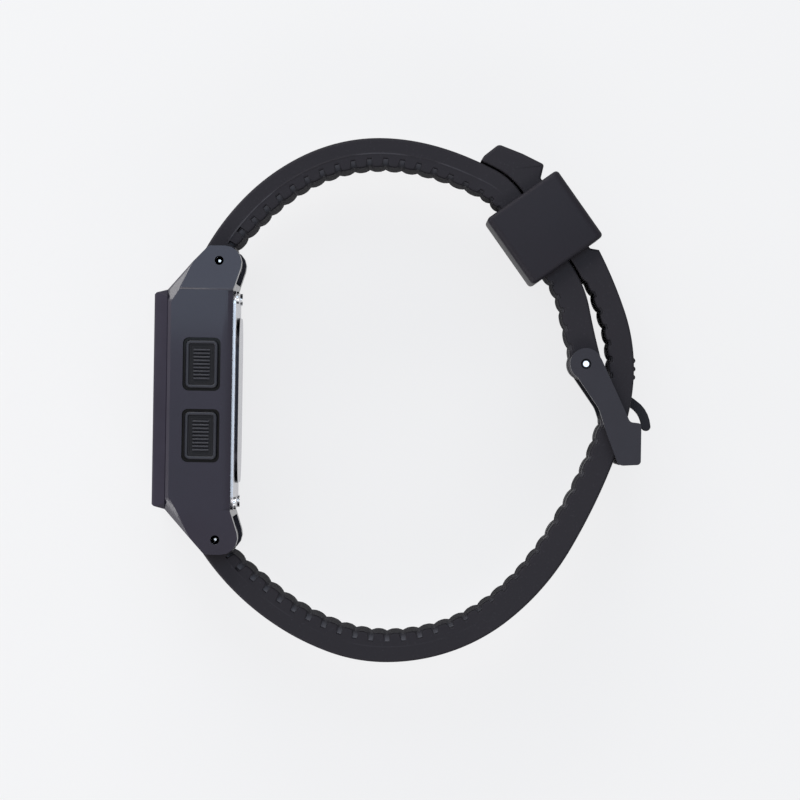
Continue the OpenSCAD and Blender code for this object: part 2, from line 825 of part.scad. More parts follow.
module pusher(side, row) {
    low = cap_top - cap_t;
    color("#35363d")
        seated()
            at_pusher(side, row)
                difference() {
                    union() {
                        translate([0, 0, low])
                            linear_extrude(cap_t - 0.3)
                                block(pusher_w, pusher_h, 0.8);
                        translate([0, 0, cap_top - 0.3])
                            pusher_face();
                        translate([0, 0, stem_end])
                            cylinder(d = stem_d, h = low - stem_end + 0.1);
                    }
                    translate([0, 0, -wall_in - run_gap - clip_t - run_gap])
                        difference() {
                            cylinder(d = stem_d + 1, h = clip_t + run_gap);
                            cylinder(d = groove_d, h = 1);
                        }
                }
}

clip_t = 0.3;
groove_d = stem_d - 0.5;
stem_end = -(case_w - frame_w) / 2 + sheet_t + travel + 0.2;

module pusher_clip(side, row) {
    color("#d4d6d8")
        seated()
            at_pusher(side, row)
                translate([0, 0, -wall_in - run_gap - clip_t])
                    difference() {
                        cylinder(d = seal_bore + 0.6, h = clip_t);
                        translate([0, 0, -1])
                            cylinder(d = groove_d + set_gap, h = 2);
                        translate([0, -groove_d / 2 + 0.05, -1])
                            cube([5, groove_d - 0.1, 2]);
                    }
}

module pusher_seal(side, row) {
    color("#1c1c1e")
        seated()
            at_pusher(side, row)
                translate([0, 0, -wall_in + seal_depth - 0.27])
                    rotate_extrude()
                        translate([stem_d / 2 + 0.27, 0])
                            circle(d = 0.5);
}

module pusher_spring(side, row) {
    color("#d4d6d8")
        seated()
            at_pusher(side, row)
                translate([0, 0, -spring_seat])
                    coil(stem_d / 2 + 0.5, return_wire, spring_seat + cap_top - cap_t, return_turns);
}

// Spring bars

module at_bar(row) {
    translate([bar_x, row * bar_y, 0])
        children();
}

module bar_tube(row) {
    color("#b9bcc0")
        seated()
            at_bar(row)
                difference() {
                    translate([0, 0, -bar_half])
                        cylinder(d = bar_d, h = 2 * bar_half);
                    translate([0, 0, -bar_half - 1])
                        cylinder(d = bar_tip_d + 2 * run_gap, h = 2 * bar_half + 2);
                }
}

module bar_tip(row, side) {
    inner = bar_half - tip_shank;
    end = lug_gap / 2 + bar_reach;
    color("#e2e4e6")
        seated()
            at_bar(row)
                mirror([0, 0, side < 0 ? 1 : 0])
                    translate([0, 0, inner])
                        union() {
                            cylinder(d = bar_tip_d, h = end - inner - tip_cone);
                            translate([0, 0, end - inner - tip_cone])
                                cylinder(d1 = bar_tip_d, d2 = bar_tip_d - 2 * tip_cone, h = tip_cone);
                        }
}

module bar_spring(row) {
    reach = bar_half - tip_shank;
    color("#b9bcc0")
        seated()
            at_bar(row)
                translate([0, 0, -reach])
                    coil(bar_tip_d / 2 - 0.15, 0.2, 2 * reach, 12, 6, 4);
}

// Strap

// Outline between a route and the ribs on its wrist side: side is 1 where the wrist is on the left
function strap_points(path, from, to, side, step, ribbed) =
    let (n = ceil((to - from) / step))
    [for (i = [0:n]) let (s = from + (to - from) * i / n)
        beside(path, s, side * (ribbed ? 1 : 0) * thickness(s, side, ribbed))];
function thickness(s, side, ribbed) =
    (side < 0 ? short_t(s) : long_t(s)) - (s > 3.2 ? rib_h * (1 - scallop(s - 3.2)) : 0);
function reversed(list) = [for (i = [len(list) - 1:-1:0]) list[i]];

// Both straps narrow from the case to the buckle
module strap_width() {
    a = strap_w_case / 2;
    b = strap_w / 2;
    near = back_x + lug_back;
    far = loop_mid + 14;
    along_y(4 * loop_top)
        polygon([[0, -a], [near, -a], [far, -b], [2 * pin_x, -b], [2 * pin_x, b], [far, b], [near, a],
            [0, a]]);
}

module slab(w = 0) {
    h = w == 0 ? strap_w_case : w;
    translate([0, 0, -h / 2])
        linear_extrude(h)
            children();
}

module strap_short() {
    color("#2c2b32")
        difference() {
            intersection() {
                union() {
                    slab()
                        polygon(concat(strap_points(short_route, 0, short_l, -1, 2.4, false),
                            reversed(strap_points(short_route, 0, short_l, -1, rib_pitch / 5, true))));
                    translate([bar_x, bar_y, -strap_w_case / 2])
                        cylinder(r = knuckle_r, h = strap_w_case);
                    translate([pin_x, pin_y, -strap_w / 2])
                        cylinder(r = pin_round, h = strap_w);
                }
                strap_width();
            }
            translate([bar_x, bar_y, -case_w])
                cylinder(d = bar_d + 2 * run_gap, h = 2 * case_w);
            translate([pin_x, pin_y, -case_w])
                cylinder(d = pin_d + 2 * run_gap, h = 2 * case_w);
            translate([pin_x, pin_y, -tongue_w / 2 - soft_gap])
                cylinder(r = knuckle_r + 0.4, h = tongue_w + 2 * soft_gap);
        }
}

// The tail lies on the outer face of the short strap inside the keeper and past it
function lap_points() =
    let (from = nearest(short_route, in_keeper(notch_half + 3, lap_line)),
        to = nearest(short_route, in_keeper(-notch_half - head_l + 0.3, lap_y - 2)),
        n = ceil((from - to) / 1.5))
    [for (i = [0:n]) beside(short_route, from + (to - from) * i / n, soft_gap)];

// Notch for the keeper and the thick head that holds it there
function head_points() =
    let (low = lap_y + notch_t, x = -notch_half, nose = x - head_l,
        pts = [in_keeper(notch_half + 1, low + 1), in_keeper(notch_half, low), in_keeper(x, low),
            in_keeper(x - 1.45, low + head_lift), in_keeper(x - 4.7, low - 0.1),
            in_keeper(nose + 0.15, low - 2.3), in_keeper(nose + 0.3, low - 5.2), reversed(lap_points())[0]],
        r = [0, 0.3, 0.3, 0.4, 4, 0.9, 1.2])
    [for (i = [1:6]) each fillet(pts[i - 1], pts[i], pts[i + 1], r[i], 4)];

module long_hole(s) {
    p = along(long_route, s);
    translate([p.x, p.y, 0])
        rotate([0, 0, p.z])
            cube([hole_l, 4 * strap_t, hole_w], center = true);
}

// Three small ribs beside the hole in use, to feel for it
module pips() {
    for (i = [0:2])
        let (p = along(long_route, used_hole + 3.2 + 1.3 * i))
            translate([p.x, p.y, -pip_l / 2])
                cylinder(r = pip_r, h = pip_l, $fn = 24);
}

// The rubber gives way round the tongue, over the whole swing
module used_hole_cut() {
    near = 2.2;
    far = 12;
    side = tongue_t / 2 + soft_gap;
    slab(hole_w)
        polygon([pin + near * dir(tongue_turn) - side * left_of(tongue_turn),
            pin + far * dir(tongue_turn) - side * left_of(tongue_turn),
            pin + far * dir(tongue_turn + swing) + side * left_of(tongue_turn + swing),
            pin + near * dir(tongue_turn + swing) + side * left_of(tongue_turn + swing)]);
}

module strap_long() {
    ribs_end = long_l - 4;
    color("#2c2b32")
        difference() {
            intersection() {
                union() {
                    slab()
                        polygon(concat(strap_points(long_route, 0, long_l, 1, 2.4, false),
                            head_points(), reversed(lap_points()),
                            reversed(strap_points(long_route, 0, ribs_end, 1, rib_pitch / 5, true))));
                    translate([bar_x, -bar_y, -strap_w_case / 2])
                        cylinder(r = knuckle_r, h = strap_w_case);
                    pips();
                }
                strap_width();
            }
            translate([bar_x, -bar_y, -case_w])
                cylinder(d = bar_d + 2 * run_gap, h = 2 * case_w);
            for (i = [-holes_below:holes_above])
                if (i != 0)
                    long_hole(used_hole + i * hole_pitch);
            used_hole_cut();
        }
}

module keeper() {
    room_low = lap_line - strap_t - soft_gap;
    room_high = lap_y + notch_t + soft_gap;
    color("#333238")
        translate([keeper_x, keeper_y, 0])
            rotate([0, 0, keeper_turn])
                difference() {
                    translate([0, 0, -keeper_half])
                        linear_extrude(2 * keeper_half)
                            block(keeper_l, keeper_h, 0.6);
                    translate([-keeper_l, room_low, -strap_w / 2 - soft_gap])
                        cube([2 * keeper_l, room_high - room_low, strap_w + 2 * soft_gap]);
                }
}

// Buckle, measured from its pin

module arm_outline() {
    inner = bar_edge - 1.75;
    low = -bar_top - bar_h;
    polygon(rounded([[0, 1.2], [2.2, 1.2], [inner, 0.2 - bar_top], [bar_edge, -bar_top],
        [bar_edge, low], [bar_edge - 3.4, low - 0.2], [3.4, -10.8], [2.1, -6.9], [-1.2, -2.2]],
        [0, 0.8, 0.7, 0.5, 0.6, 1, 3, 4, 0]));
    circle(r = arm_r);
}

module buckle_frame() {
    low = -bar_top - bar_h;
    color("#3a393f")
        translate([pin_x, pin_y, 0])
            difference() {
                union() {
                    for (side = [0, 1])
                        mirror([0, 0, side])
                            translate([0, 0, arm_z])
                                linear_extrude(arm_t)
                                    arm_outline();
                    translate([0, 0, -arm_z])
                        linear_extrude(2 * arm_z)
                            polygon(rounded([[6.6, -bar_top], [bar_edge, -bar_top], [bar_edge, low],
                                [bar_edge - 3.7, low - 0.1]], [0.3, 0.5, 0.6, 0.3]));
                }
                translate([0, 0, -case_w])
                    cylinder(d = pin_d + 2 * run_gap, h = 2 * case_w);
                for (side = [0, 1])
                    mirror([0, 0, side])
                        translate([0, 0, arm_z + arm_t - pin_seat])
                            cylinder(d = pin_d + 0.4, h = 2 * pin_seat);
            }
}

module buckle_pin() {
    half = arm_z + arm_t - 0.2;
    color("#e2e4e6")
        translate([pin_x, pin_y, -half])
            cylinder(d = pin_d, h = 2 * half);
}

module tongue() {
    n = 16;
    eye = 1.75;
    start = 0.8;
    run = tongue_l - tongue_t / 2 - start;
    tip = beside(tongue_route, start + run, 0);
    outer = [for (i = [0:n]) beside(tongue_route, start + run * i / n, tongue_t / 2)];
    inner = [for (i = [0:n]) beside(tongue_route, start + run * i / n, -tongue_t / 2)];
    color("#3a393f")
        difference() {
            translate([0, 0, -tongue_w / 2])
                union() {
                    linear_extrude(tongue_w)
                        polygon(concat(outer, reversed(inner)));
                    translate([pin_x, pin_y, 0])
                        cylinder(r = eye, h = tongue_w);
                    translate([tip.x, tip.y, 0])
                        cylinder(d = tongue_t, h = tongue_w);
                }
            translate([pin_x, pin_y, -case_w])
                cylinder(d = pin_d + 2 * run_gap, h = 2 * case_w);
        }
}

seated() case_body();
seated() bezel();
seated() crystal();
seated() crystal_gasket();
seated() display_mask();
seated() lcd_cell();
seated() backlight_panel();
seated() display_connectors();
seated() module_frame();
seated() circuit_board();
seated() driver_chip();
seated() quartz_crystal();
seated() pusher_contacts();
seated() battery();
seated() battery_clip();
seated() buzzer_disc();
seated() buzzer_spring();
seated() back_gasket();
seated() case_back();
seated() back_screws();
pusher(1, 1);  // pusher_right_upper
pusher_clip(1, 1);  // pusher_right_upper_clip
pusher_seal(1, 1);  // pusher_right_upper_seal
pusher_spring(1, 1);  // pusher_right_upper_spring
pusher(1, -1);  // pusher_right_lower
pusher_clip(1, -1);  // pusher_right_lower_clip
pusher_seal(1, -1);  // pusher_right_lower_seal
pusher_spring(1, -1);  // pusher_right_lower_spring
pusher(-1, 1);  // pusher_left_upper
pusher_clip(-1, 1);  // pusher_left_upper_clip
pusher_seal(-1, 1);  // pusher_left_upper_seal
pusher_spring(-1, 1);  // pusher_left_upper_spring
pusher(-1, -1);  // pusher_left_lower
pusher_clip(-1, -1);  // pusher_left_lower_clip
pusher_seal(-1, -1);  // pusher_left_lower_seal
pusher_spring(-1, -1);  // pusher_left_lower_spring
bar_tube(1);  // bar_upper_tube
bar_tip(1, 1);  // bar_upper_tip_right
bar_tip(1, -1);  // bar_upper_tip_left
bar_spring(1);  // bar_upper_spring
bar_tube(-1);  // bar_lower_tube
bar_tip(-1, 1);  // bar_lower_tip_right
bar_tip(-1, -1);  // bar_lower_tip_left
bar_spring(-1);  // bar_lower_spring
seated() strap_short();
seated() strap_long();
seated() keeper();
seated() buckle_frame();
seated() buckle_pin();
seated() tongue();
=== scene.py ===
# %% [markdown]
# # A digital watch, dressed around its CAD frame
#
# The CAD model of this watch has every solid at its true size: the resin case, its steel back,
# the pushers, the spring bars, the two halves of the rubber strap, the keeper and the buckle.
# Here each of them gets the surface that the real object has. Rubber parts are rebuilt as new
# meshes, hard parts keep their CAD shape with softened edges, and everything gets a material.
# All lengths below are in metres, unless a name ends in `mm`.

import math

import bmesh
import bpy
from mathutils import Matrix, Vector


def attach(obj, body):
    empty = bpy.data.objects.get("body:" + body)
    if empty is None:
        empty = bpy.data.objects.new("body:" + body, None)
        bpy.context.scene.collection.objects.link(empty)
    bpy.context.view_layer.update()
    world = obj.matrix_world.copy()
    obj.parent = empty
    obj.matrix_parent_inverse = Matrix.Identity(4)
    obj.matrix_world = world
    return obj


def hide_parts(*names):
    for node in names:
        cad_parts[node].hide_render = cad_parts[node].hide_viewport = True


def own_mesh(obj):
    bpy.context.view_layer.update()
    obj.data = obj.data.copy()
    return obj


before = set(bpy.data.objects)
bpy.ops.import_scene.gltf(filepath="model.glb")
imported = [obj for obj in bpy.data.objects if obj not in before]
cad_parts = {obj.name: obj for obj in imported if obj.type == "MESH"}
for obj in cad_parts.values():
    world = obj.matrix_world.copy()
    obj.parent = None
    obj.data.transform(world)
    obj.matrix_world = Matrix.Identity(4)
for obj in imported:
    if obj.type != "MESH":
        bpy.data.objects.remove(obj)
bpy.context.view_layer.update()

# %% [markdown]
# The CAD model was drawn in the watch's own directions: x runs from the glass to the wrist,
# y from 6 to 12 o'clock and z from 9 to 3 o'clock, in millimetres, with zero at the front of
# the bezel and in the middle of the dial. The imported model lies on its 9 o'clock side instead,
# so one small function turns a point of the watch into a point of the scene.

# %% From the watch's own millimetres to the scene
MM = 0.001
BOX_X, BOX_Y, HALF_CASE = 38.625, 0.4, 18.5


def at(x, y, z=0.0):
    return Vector(((x - BOX_X) * MM, (y - BOX_Y) * MM, (z + HALF_CASE) * MM))


def raised(p, z):
    """A flat point of the watch's side view, at a height over its middle plane."""
    return at(p.x, p.y, z)


print("bezel front is at", tuple(round(c, 4) for c in at(0, 0)))


def link(name, data):
    """New object with this data, which may be a camera, a lamp or a mesh."""
    piece = bpy.data.objects.new(name, data)
    bpy.context.scene.collection.objects.link(piece)
    return piece


# %% [markdown]
# ## Camera and light
#
# The photograph looks straight at the 3 o'clock side, so the camera stands above the watch and
# looks down. A long lens from 1 m keeps the sides of the strap nearly flat, and still lets
# a little of its ribbed inside show at the top and bottom, as the photograph does.

# %% Camera
VIEW_WIDTH = 125.3 * MM
VIEW_MIDDLE = (38.0, 0.46)
CAMERA_HEIGHT = 1.0
TURN = math.radians(0.9)

lens = bpy.data.cameras.new("side_view")
lens.sensor_width = 36
lens.lens = lens.sensor_width * CAMERA_HEIGHT / VIEW_WIDTH
lens.clip_start, lens.clip_end = 0.05, 10
camera = link("side_view", lens)
camera.location = at(*VIEW_MIDDLE) + Vector((0, 0, CAMERA_HEIGHT))
camera.rotation_euler = (0, 0, TURN)
bpy.context.scene.camera = camera
print("lens:", round(lens.lens, 1), "mm")

# %% [markdown]
# Product photographs of dark rubber use large soft lamps, so that edges catch a broad, gentle
# highlight and nothing glares. One lamp hangs over the 12 o'clock half, and its lower edge is
# mirrored in the satin side of the case, which makes the upper part lighter. A second one
# shines from beyond 12 o'clock and picks out every edge that faces it. Two low ones stand
# beyond the corners on the glass side, and are mirrored in the chamfers along the lugs. A weak
# one opposite softens the shadows.

# %% Lamps
WATCH = (0, 0, 0.02)
KEY_HEIGHT, KEY_EDGE, KEY_SIZE = 1.0, 0.0192, (0.7, 0.5)


def lamp(name, place, size, power, colour=(1, 1, 1), aim=WATCH):
    light = bpy.data.lights.new(name, "AREA")
    light.shape, light.size, light.size_y = "RECTANGLE", size[0], size[1]
    light.energy, light.color = power, colour
    holder = link(name, light)
    holder.location = place
    holder.rotation_euler = (Vector(aim) - Vector(place)).to_track_quat("-Z", "Y").to_euler()


key_y = KEY_EDGE + KEY_SIZE[1] / 2
lamp("key", (0, key_y, KEY_HEIGHT), KEY_SIZE, 3.0, (0.62, 0.82, 1), (0, key_y, 0))
lamp("beyond_12", (-0.15, 0.75, 0.6), (0.6, 0.35), 4.4, (1, 0.985, 0.95))
for end, name in ((1, "corner_12"), (-1, "corner_6")):
    lamp(name, (-0.56, end * 0.33, 0.12), (0.4, 0.18), 2.4)
lamp("fill", (0.1, -0.55, 0.75), (0.6, 0.4), 2.0, (1, 0.98, 0.95))
print("lamps:", len(bpy.data.lights))

# %% [markdown]
# ## A small kit for materials
#
# A material is a tree of nodes. `add` makes one node and fills its inputs, either with a value
# or with another node's output. The nodes that come back most get a shortcut each, so that
# a whole tree reads as a few lines.

# %% Node helpers
def add(tree, kind, inputs=None, **options):
    node = tree.nodes.new(kind)
    for name, value in options.items():
        setattr(node, name, value)
    for name, value in (inputs or {}).items():
        if isinstance(value, bpy.types.NodeSocket):
            tree.links.new(value, node.inputs[name])
        else:
            node.inputs[name].default_value = value
    return node


def calc(tree, operation, *values):
    return add(tree, "ShaderNodeMath", dict(enumerate(values)), operation=operation).outputs[0]


def vector(tree, operation, *values):
    return add(tree, "ShaderNodeVectorMath", dict(enumerate(values)), operation=operation)


def spread(tree, value, low, high, to_low=0.0, to_high=1.0, **options):
    """Stretches low to high over to_low to to_high, and holds the ends."""
    return add(tree, "ShaderNodeMapRange", {
        "Value": value, "From Min": low, "From Max": high, "To Min": to_low,
        "To Max": to_high}, **options).outputs[0]


def noise(tree, place, scale, detail, rough=0.5):
    return add(tree, "ShaderNodeTexNoise", {"Vector": place, "Scale": scale, "Detail": detail,
               "Roughness": rough}).outputs["Fac"]


def tint(tree, amount, base, colour):
    """Base, a socket or a colour with alpha, turned towards a colour by an amount."""
    return add(tree, "ShaderNodeMix", {"Factor": amount, "A": base, "B": (*colour, 1)},
               data_type="RGBA").outputs["Result"]


def bump(tree, height, depth):
    return add(tree, "ShaderNodeBump", {"Height": height, "Strength": 1.0,
               "Distance": depth}).outputs[0]


def read_mark(tree, title):
    return add(tree, "ShaderNodeAttribute", attribute_name=title).outputs["Fac"]


# %% [markdown]
# The sky and the floor look pale to the camera and in reflections, but light the watch only
# dimly. A Light Path node tells these rays apart.

# %% Sky
PALE, SKY_TONE, SKY_STRENGTH = (0.895, 0.895, 0.905), (0.93, 0.95, 1), 0.32


def rays_that_see_pale(tree):
    path = add(tree, "ShaderNodeLightPath").outputs
    seen = path["Is Camera Ray"]
    for other in ("Is Glossy Ray", "Is Transmission Ray"):
        seen = calc(tree, "MAXIMUM", seen, path[other])
    return seen


def between(tree, share, first, second):
    return add(tree, "ShaderNodeMixShader", {0: share, 1: first.outputs[0],
               2: second.outputs[0]}).outputs[0]


sky = bpy.data.worlds.new("sky")
sky.use_nodes = True
bpy.context.scene.world = sky
bpy.context.scene.view_settings.view_transform = "Standard"
tree = sky.node_tree
tree.nodes.clear()
dim = add(tree, "ShaderNodeBackground", {"Color": (*SKY_TONE, 1), "Strength": SKY_STRENGTH})
pale = add(tree, "ShaderNodeBackground", {"Color": (*PALE, 1), "Strength": 1.0})
add(tree, "ShaderNodeOutputWorld", {
    "Surface": between(tree, rays_that_see_pale(tree), dim, pale)})
print("sky nodes:", len(tree.nodes))

# %% [markdown]
# The floor is a plain pale sheet under the watch. Most of what it shows is its own even tone,
# and the rest is the light that falls on it, so that the watch still casts a soft shadow
# there. It sends little light back up, because the photograph has no such glow from below.

# %% Floor
FLOOR_TONE, EVEN_SHARE, FLOOR_HALF, FLOOR_Z = (0.3, 0.3, 0.31), 0.88, 1.5, -0.0001


def new_material(name):
    material = bpy.data.materials.new(name)
    material.use_nodes = True
    material.node_tree.nodes.clear()
    return material, material.node_tree


floor_look, tree = new_material("pale_floor")
seen = rays_that_see_pale(tree)
lit = add(tree, "ShaderNodeBsdfDiffuse", {"Color": tint(tree, seen, (*FLOOR_TONE, 1), PALE)})
even = add(tree, "ShaderNodeEmission", {"Color": (*PALE, 1), "Strength": 1.0})
add(tree, "ShaderNodeOutputMaterial", {
    "Surface": between(tree, calc(tree, "MULTIPLY", seen, EVEN_SHARE), lit, even)})

sheet = bpy.data.meshes.new("floor")
sheet.from_pydata([(x * FLOOR_HALF, y * FLOOR_HALF, FLOOR_Z) for x, y in
                   ((-1, -1), (1, -1), (1, 1), (-1, 1))], [], [(0, 1, 2, 3)])
sheet.materials.append(floor_look)
floor = link("floor", sheet)
print("floor:", 2 * FLOOR_HALF, "m wide")

# %% [markdown]
# ## Moulded and metal finishes
#
# Resin and rubber come out of a mould whose walls are spark eroded, which leaves a grain of
# about a tenth of a millimetre. Broad, faint clouds of tone come from handling and dust. The
# same recipe with other numbers makes every moulded part: a cloud of tone, a fine grain that
# bends the light, and a roughness that follows the cloud. `extra` may add to the colour, and
# `matt` names a mark on the mesh whose places are fully matt.

# %% Recipe for moulded parts
MATT, COAT_ROUGH = 0.95, 0.06
MOST = (0.3, 0.7)  # most of a noise lies between these


def object_place(tree):
    return add(tree, "ShaderNodeTexCoord").outputs["Object"]


def skin(tree, inputs):
    shader = add(tree, "ShaderNodeBsdfPrincipled", inputs)
    add(tree, "ShaderNodeOutputMaterial", {"Surface": shader.outputs[0]})


def moulded(name, colour, other, rough, grain_mm=0.12, depth_mm=0.006, cloud_mm=7.0,
            rough_play=0.06, specular=0.5, coat=0.0, extra=None, matt=None):
    material, tree = new_material(name)
    place = object_place(tree)
    cloud = noise(tree, place, 1 / (cloud_mm * MM), 4.0, 0.6)
    grain = noise(tree, place, 1 / (grain_mm * MM), 2.0, 0.55)
    mixed = tint(tree, spread(tree, cloud, *MOST), (*colour, 1), other)
    if extra:
        mixed = extra(tree, place, mixed)
    dull = spread(tree, cloud, *MOST, rough - rough_play, rough + rough_play)
    if matt:
        dull = calc(tree, "MAXIMUM", dull, calc(tree, "MULTIPLY", read_mark(tree, matt), MATT))
    skin(tree, {"Base Color": mixed, "Normal": bump(tree, grain, depth_mm * MM),
                "Roughness": dull, "Specular IOR Level": specular,
                "Coat Weight": coat, "Coat Roughness": COAT_ROUGH})
    return material


# %% [markdown]
# Some places of a part get painted light or shade in their colour. A sunken floor gets painted
# shade, the step and the lug fronts of the case get a painted highlight, and the flank of the case
# back's raised centre gets a painted dark reflection. Such places are marked on the mesh, and
# `marked` gives each mark its colour. On the strap, the ribbed inside gets painted shade and the
# mouths of the grooves get a painted highlight. The strap's rubber also has dust in its grain, and
# a painted highlight along the parting line, broken up by noise.

# %% Colours at marks
# Painted shade: sunken floors and wells are drawn nearly black, and the same mark makes them fully
# matt.
SUNK_SHADE = ("sunk_shade", (0.0015, 0.0015, 0.0022))
# Painted highlight: the step at 12 o'clock and the lug fronts are drawn paler, as if they caught
# the light.
EDGE_HIGHLIGHT = ("edge_highlight", (0.045, 0.042, 0.052))
# Painted reflection: the flank of the case back's raised centre is drawn dark, as the dark strap
# mirrored in it.
FLANK_DARK_REFLECTION = ("flank", (0.016, 0.016, 0.02))
# Painted shade: the ribbed inside of the strap is drawn darker, and the same mark makes it matt.
CREST_SHADE = ("crest", (0.0115, 0.0105, 0.0138))
# Painted highlight: the mouths of the grooves are drawn light, standing in for light seen through
# them.
GROOVE_HIGHLIGHT = ("groove", (0.105, 0.102, 0.116))
# Dust in the grain, and the painted highlight along the parting line.
DUST_AND_LINE_HIGHLIGHT = (0.050, 0.048, 0.057)


def marked(*marks):
    def extra(tree, place, mixed):
        for title, colour in marks:
            mixed = tint(tree, read_mark(tree, title), mixed, colour)
        return mixed
    return extra


# Dust flecks over the rubber, a painted highlight along the parting line broken up by noise,
# painted shade on the ribbed inside, and a painted highlight in the groove mouths.
def ribbed_rubber(tree, place, mixed):
    fleck = spread(tree, noise(tree, place, 3000.0, 2.0), 0.62, 0.76, 0.0, 0.25)
    line_highlight_breaks = spread(tree, noise(tree, place, 170.0, 2.0), 0.47, 0.60)
    amount = calc(tree, "MULTIPLY_ADD", read_mark(tree, "line"), line_highlight_breaks, fleck)
    return marked(CREST_SHADE, GROOVE_HIGHLIGHT)(tree, place, tint(tree, amount, mixed, DUST_AND_LINE_HIGHLIGHT))


# %% Resins and rubbers
case_resin = moulded("case_resin", (0.0092, 0.0064, 0.0158), (0.0116, 0.0086, 0.0194), 0.42,
                     specular=0.2, coat=0.3, extra=marked(SUNK_SHADE, EDGE_HIGHLIGHT), matt="sunk_shade")
pusher_resin = moulded("pusher_resin", (0.0125, 0.012, 0.0175), (0.0155, 0.015, 0.021), 0.38,
                       specular=0.28, extra=marked(SUNK_SHADE), matt="sunk_shade")
strap_rubber = moulded("strap_rubber", (0.0145, 0.0127, 0.0166), (0.0182, 0.0162, 0.0205), 0.62,
                       grain_mm=0.16, depth_mm=0.008, cloud_mm=9, specular=0.15,
                       extra=ribbed_rubber, matt="crest")
keeper_rubber = moulded("keeper_rubber", (0.0105, 0.0090, 0.0133), (0.0135, 0.0117, 0.0165), 0.55,
                        grain_mm=0.16, specular=0.16)
seal_rubber = moulded("seal_rubber", (0.010, 0.010, 0.011), (0.014, 0.014, 0.015), 0.45,
                      grain_mm=0.3, depth_mm=0.003)
mask_black = moulded("mask_black", (0.006, 0.006, 0.007), (0.009, 0.009, 0.010), 0.35,
                     grain_mm=0.2, depth_mm=0.002)
diffuser_white = moulded("diffuser_white", (0.74, 0.77, 0.77), (0.80, 0.82, 0.82), 0.5,
                         grain_mm=0.3, depth_mm=0.003)
chip_black = moulded("chip_black", (0.010, 0.010, 0.011), (0.016, 0.016, 0.018), 0.55,
                     grain_mm=0.08, depth_mm=0.004, cloud_mm=2)
print("moulded finishes:", len(bpy.data.materials) - 1)

# %% [markdown]
# Coated steel, as on the buckle, is a thin dark skin that follows the polished metal under it.
# Bare steel and brass are drawn or turned, so their fine scratches run one way. A noise whose
# space is squeezed along one axis gives such scratches, in the roughness and in the relief.

# %% Recipe for metal parts
BAR_X, BAR_Y, PIN_AT = 9.85, 21.5, (66.7, 6.5)
SHADE = 0.6  # darker clouds on metal, as a share of its colour


def metal(name, colour, rough, along=(1, 1, 0.04), scratch_mm=0.08, depth_mm=0.0012,
          metallic=1.0, cloud=0.08, play=0.07, specular=0.5, extra=None):
    material, tree = new_material(name)
    place = object_place(tree)
    squeezed = add(tree, "ShaderNodeMapping", {"Vector": place, "Scale": along}).outputs[0]
    line = noise(tree, squeezed, 1 / (scratch_mm * MM), 3.0, 0.65)
    tone = spread(tree, noise(tree, place, 350.0, 3.0), *MOST, 0.0, cloud)
    mixed = tint(tree, tone, (*colour, 1), tuple(c * SHADE for c in colour))
    if extra:
        mixed = extra(tree, place, mixed)
    skin(tree, {"Base Color": mixed, "Metallic": metallic, "Specular IOR Level": specular,
                "Roughness": spread(tree, line, *MOST, rough - play, rough + play),
                "Normal": bump(tree, line, depth_mm * MM)})
    return material


# %% [markdown]
# The ends of the pins get painted shade, and only their middles stay bright steel, the size of the
# highlight that a domed end shows. The distance from a pin's axis tells the two apart.

# %% Steel, brass and coated steel
PIN_END_SHADE, PIN_SHADE_EDGE = (0.012, 0.012, 0.015), 0.08


def bright_middle(bright_mm, *centres):
    def extra(tree, place, mixed):
        nearest = 1.0
        for centre in centres:
            away = vector(tree, "SUBTRACT", place, at(*centre)).outputs[0]
            flat = vector(tree, "MULTIPLY", away, (1, 1, 0)).outputs[0]
            nearest = calc(tree, "MINIMUM", vector(tree, "LENGTH", flat).outputs["Value"],
                           nearest)
        # Painted shade outside the bright middle of each pin end.
        shaded = spread(tree, nearest, bright_mm * MM, (bright_mm + PIN_SHADE_EDGE) * MM)
        return tint(tree, shaded, mixed, PIN_END_SHADE)
    return extra


coating = {"along": (1, 1, 1), "scratch_mm": 0.25, "depth_mm": 0.003, "metallic": 0.0,
           "cloud": 0.25}
buckle_coating = metal("buckle_coating", (0.0195, 0.0172, 0.0235), 0.40, specular=0.2, **coating)
tongue_coating = metal("tongue_coating", (0.011, 0.0096, 0.0140), 0.42, specular=0.15, **coating)
pin_steel = metal("pin_steel", (0.66, 0.67, 0.69), 0.22, extra=bright_middle(0.42, PIN_AT))
tip_steel = metal("tip_steel", (0.60, 0.61, 0.63), 0.22,
                  extra=bright_middle(0.2, (BAR_X, BAR_Y), (BAR_X, -BAR_Y)))
brushed_steel = metal("brushed_steel", (0.62, 0.63, 0.65), 0.30, along=(1, 0.04, 1))
back_steel = metal("back_steel", (0.44, 0.44, 0.47), 0.30, along=(1, 0.04, 1),
                   extra=marked(FLANK_DARK_REFLECTION))
turned_steel = metal("turned_steel", (0.66, 0.67, 0.69), 0.22)
spring_wire = metal("spring_wire", (0.60, 0.61, 0.63), 0.20, along=(1, 1, 1), scratch_mm=0.2)
brass = metal("brass", (0.70, 0.50, 0.22), 0.30, along=(1, 1, 1), scratch_mm=0.15)
print("all finishes so far:", len(bpy.data.materials) - 1)

# %% [markdown]
# The glass is clear with a smooth face. The display cell is a sandwich of two glass sheets over
# a grey-green reflector whose fine dimples scatter the light. The connector strips between
# display and board are pink rubber with hundreds of black layers, each of which carries one
# contact. A wave texture across the strip draws the layers.

# %% Glass, board, display and connector rubber
def glass_look():
    material, tree = new_material("mineral_glass")
    wave = noise(tree, object_place(tree), 120.0, 1.0)
    skin(tree, {"Base Color": (0.97, 0.985, 0.98, 1), "Transmission Weight": 1.0, "IOR": 1.5,
                "Roughness": spread(tree, wave, 0.0, 1.0, 0.0, 0.04),
                "Normal": bump(tree, wave, 0.002 * MM)})
    return material


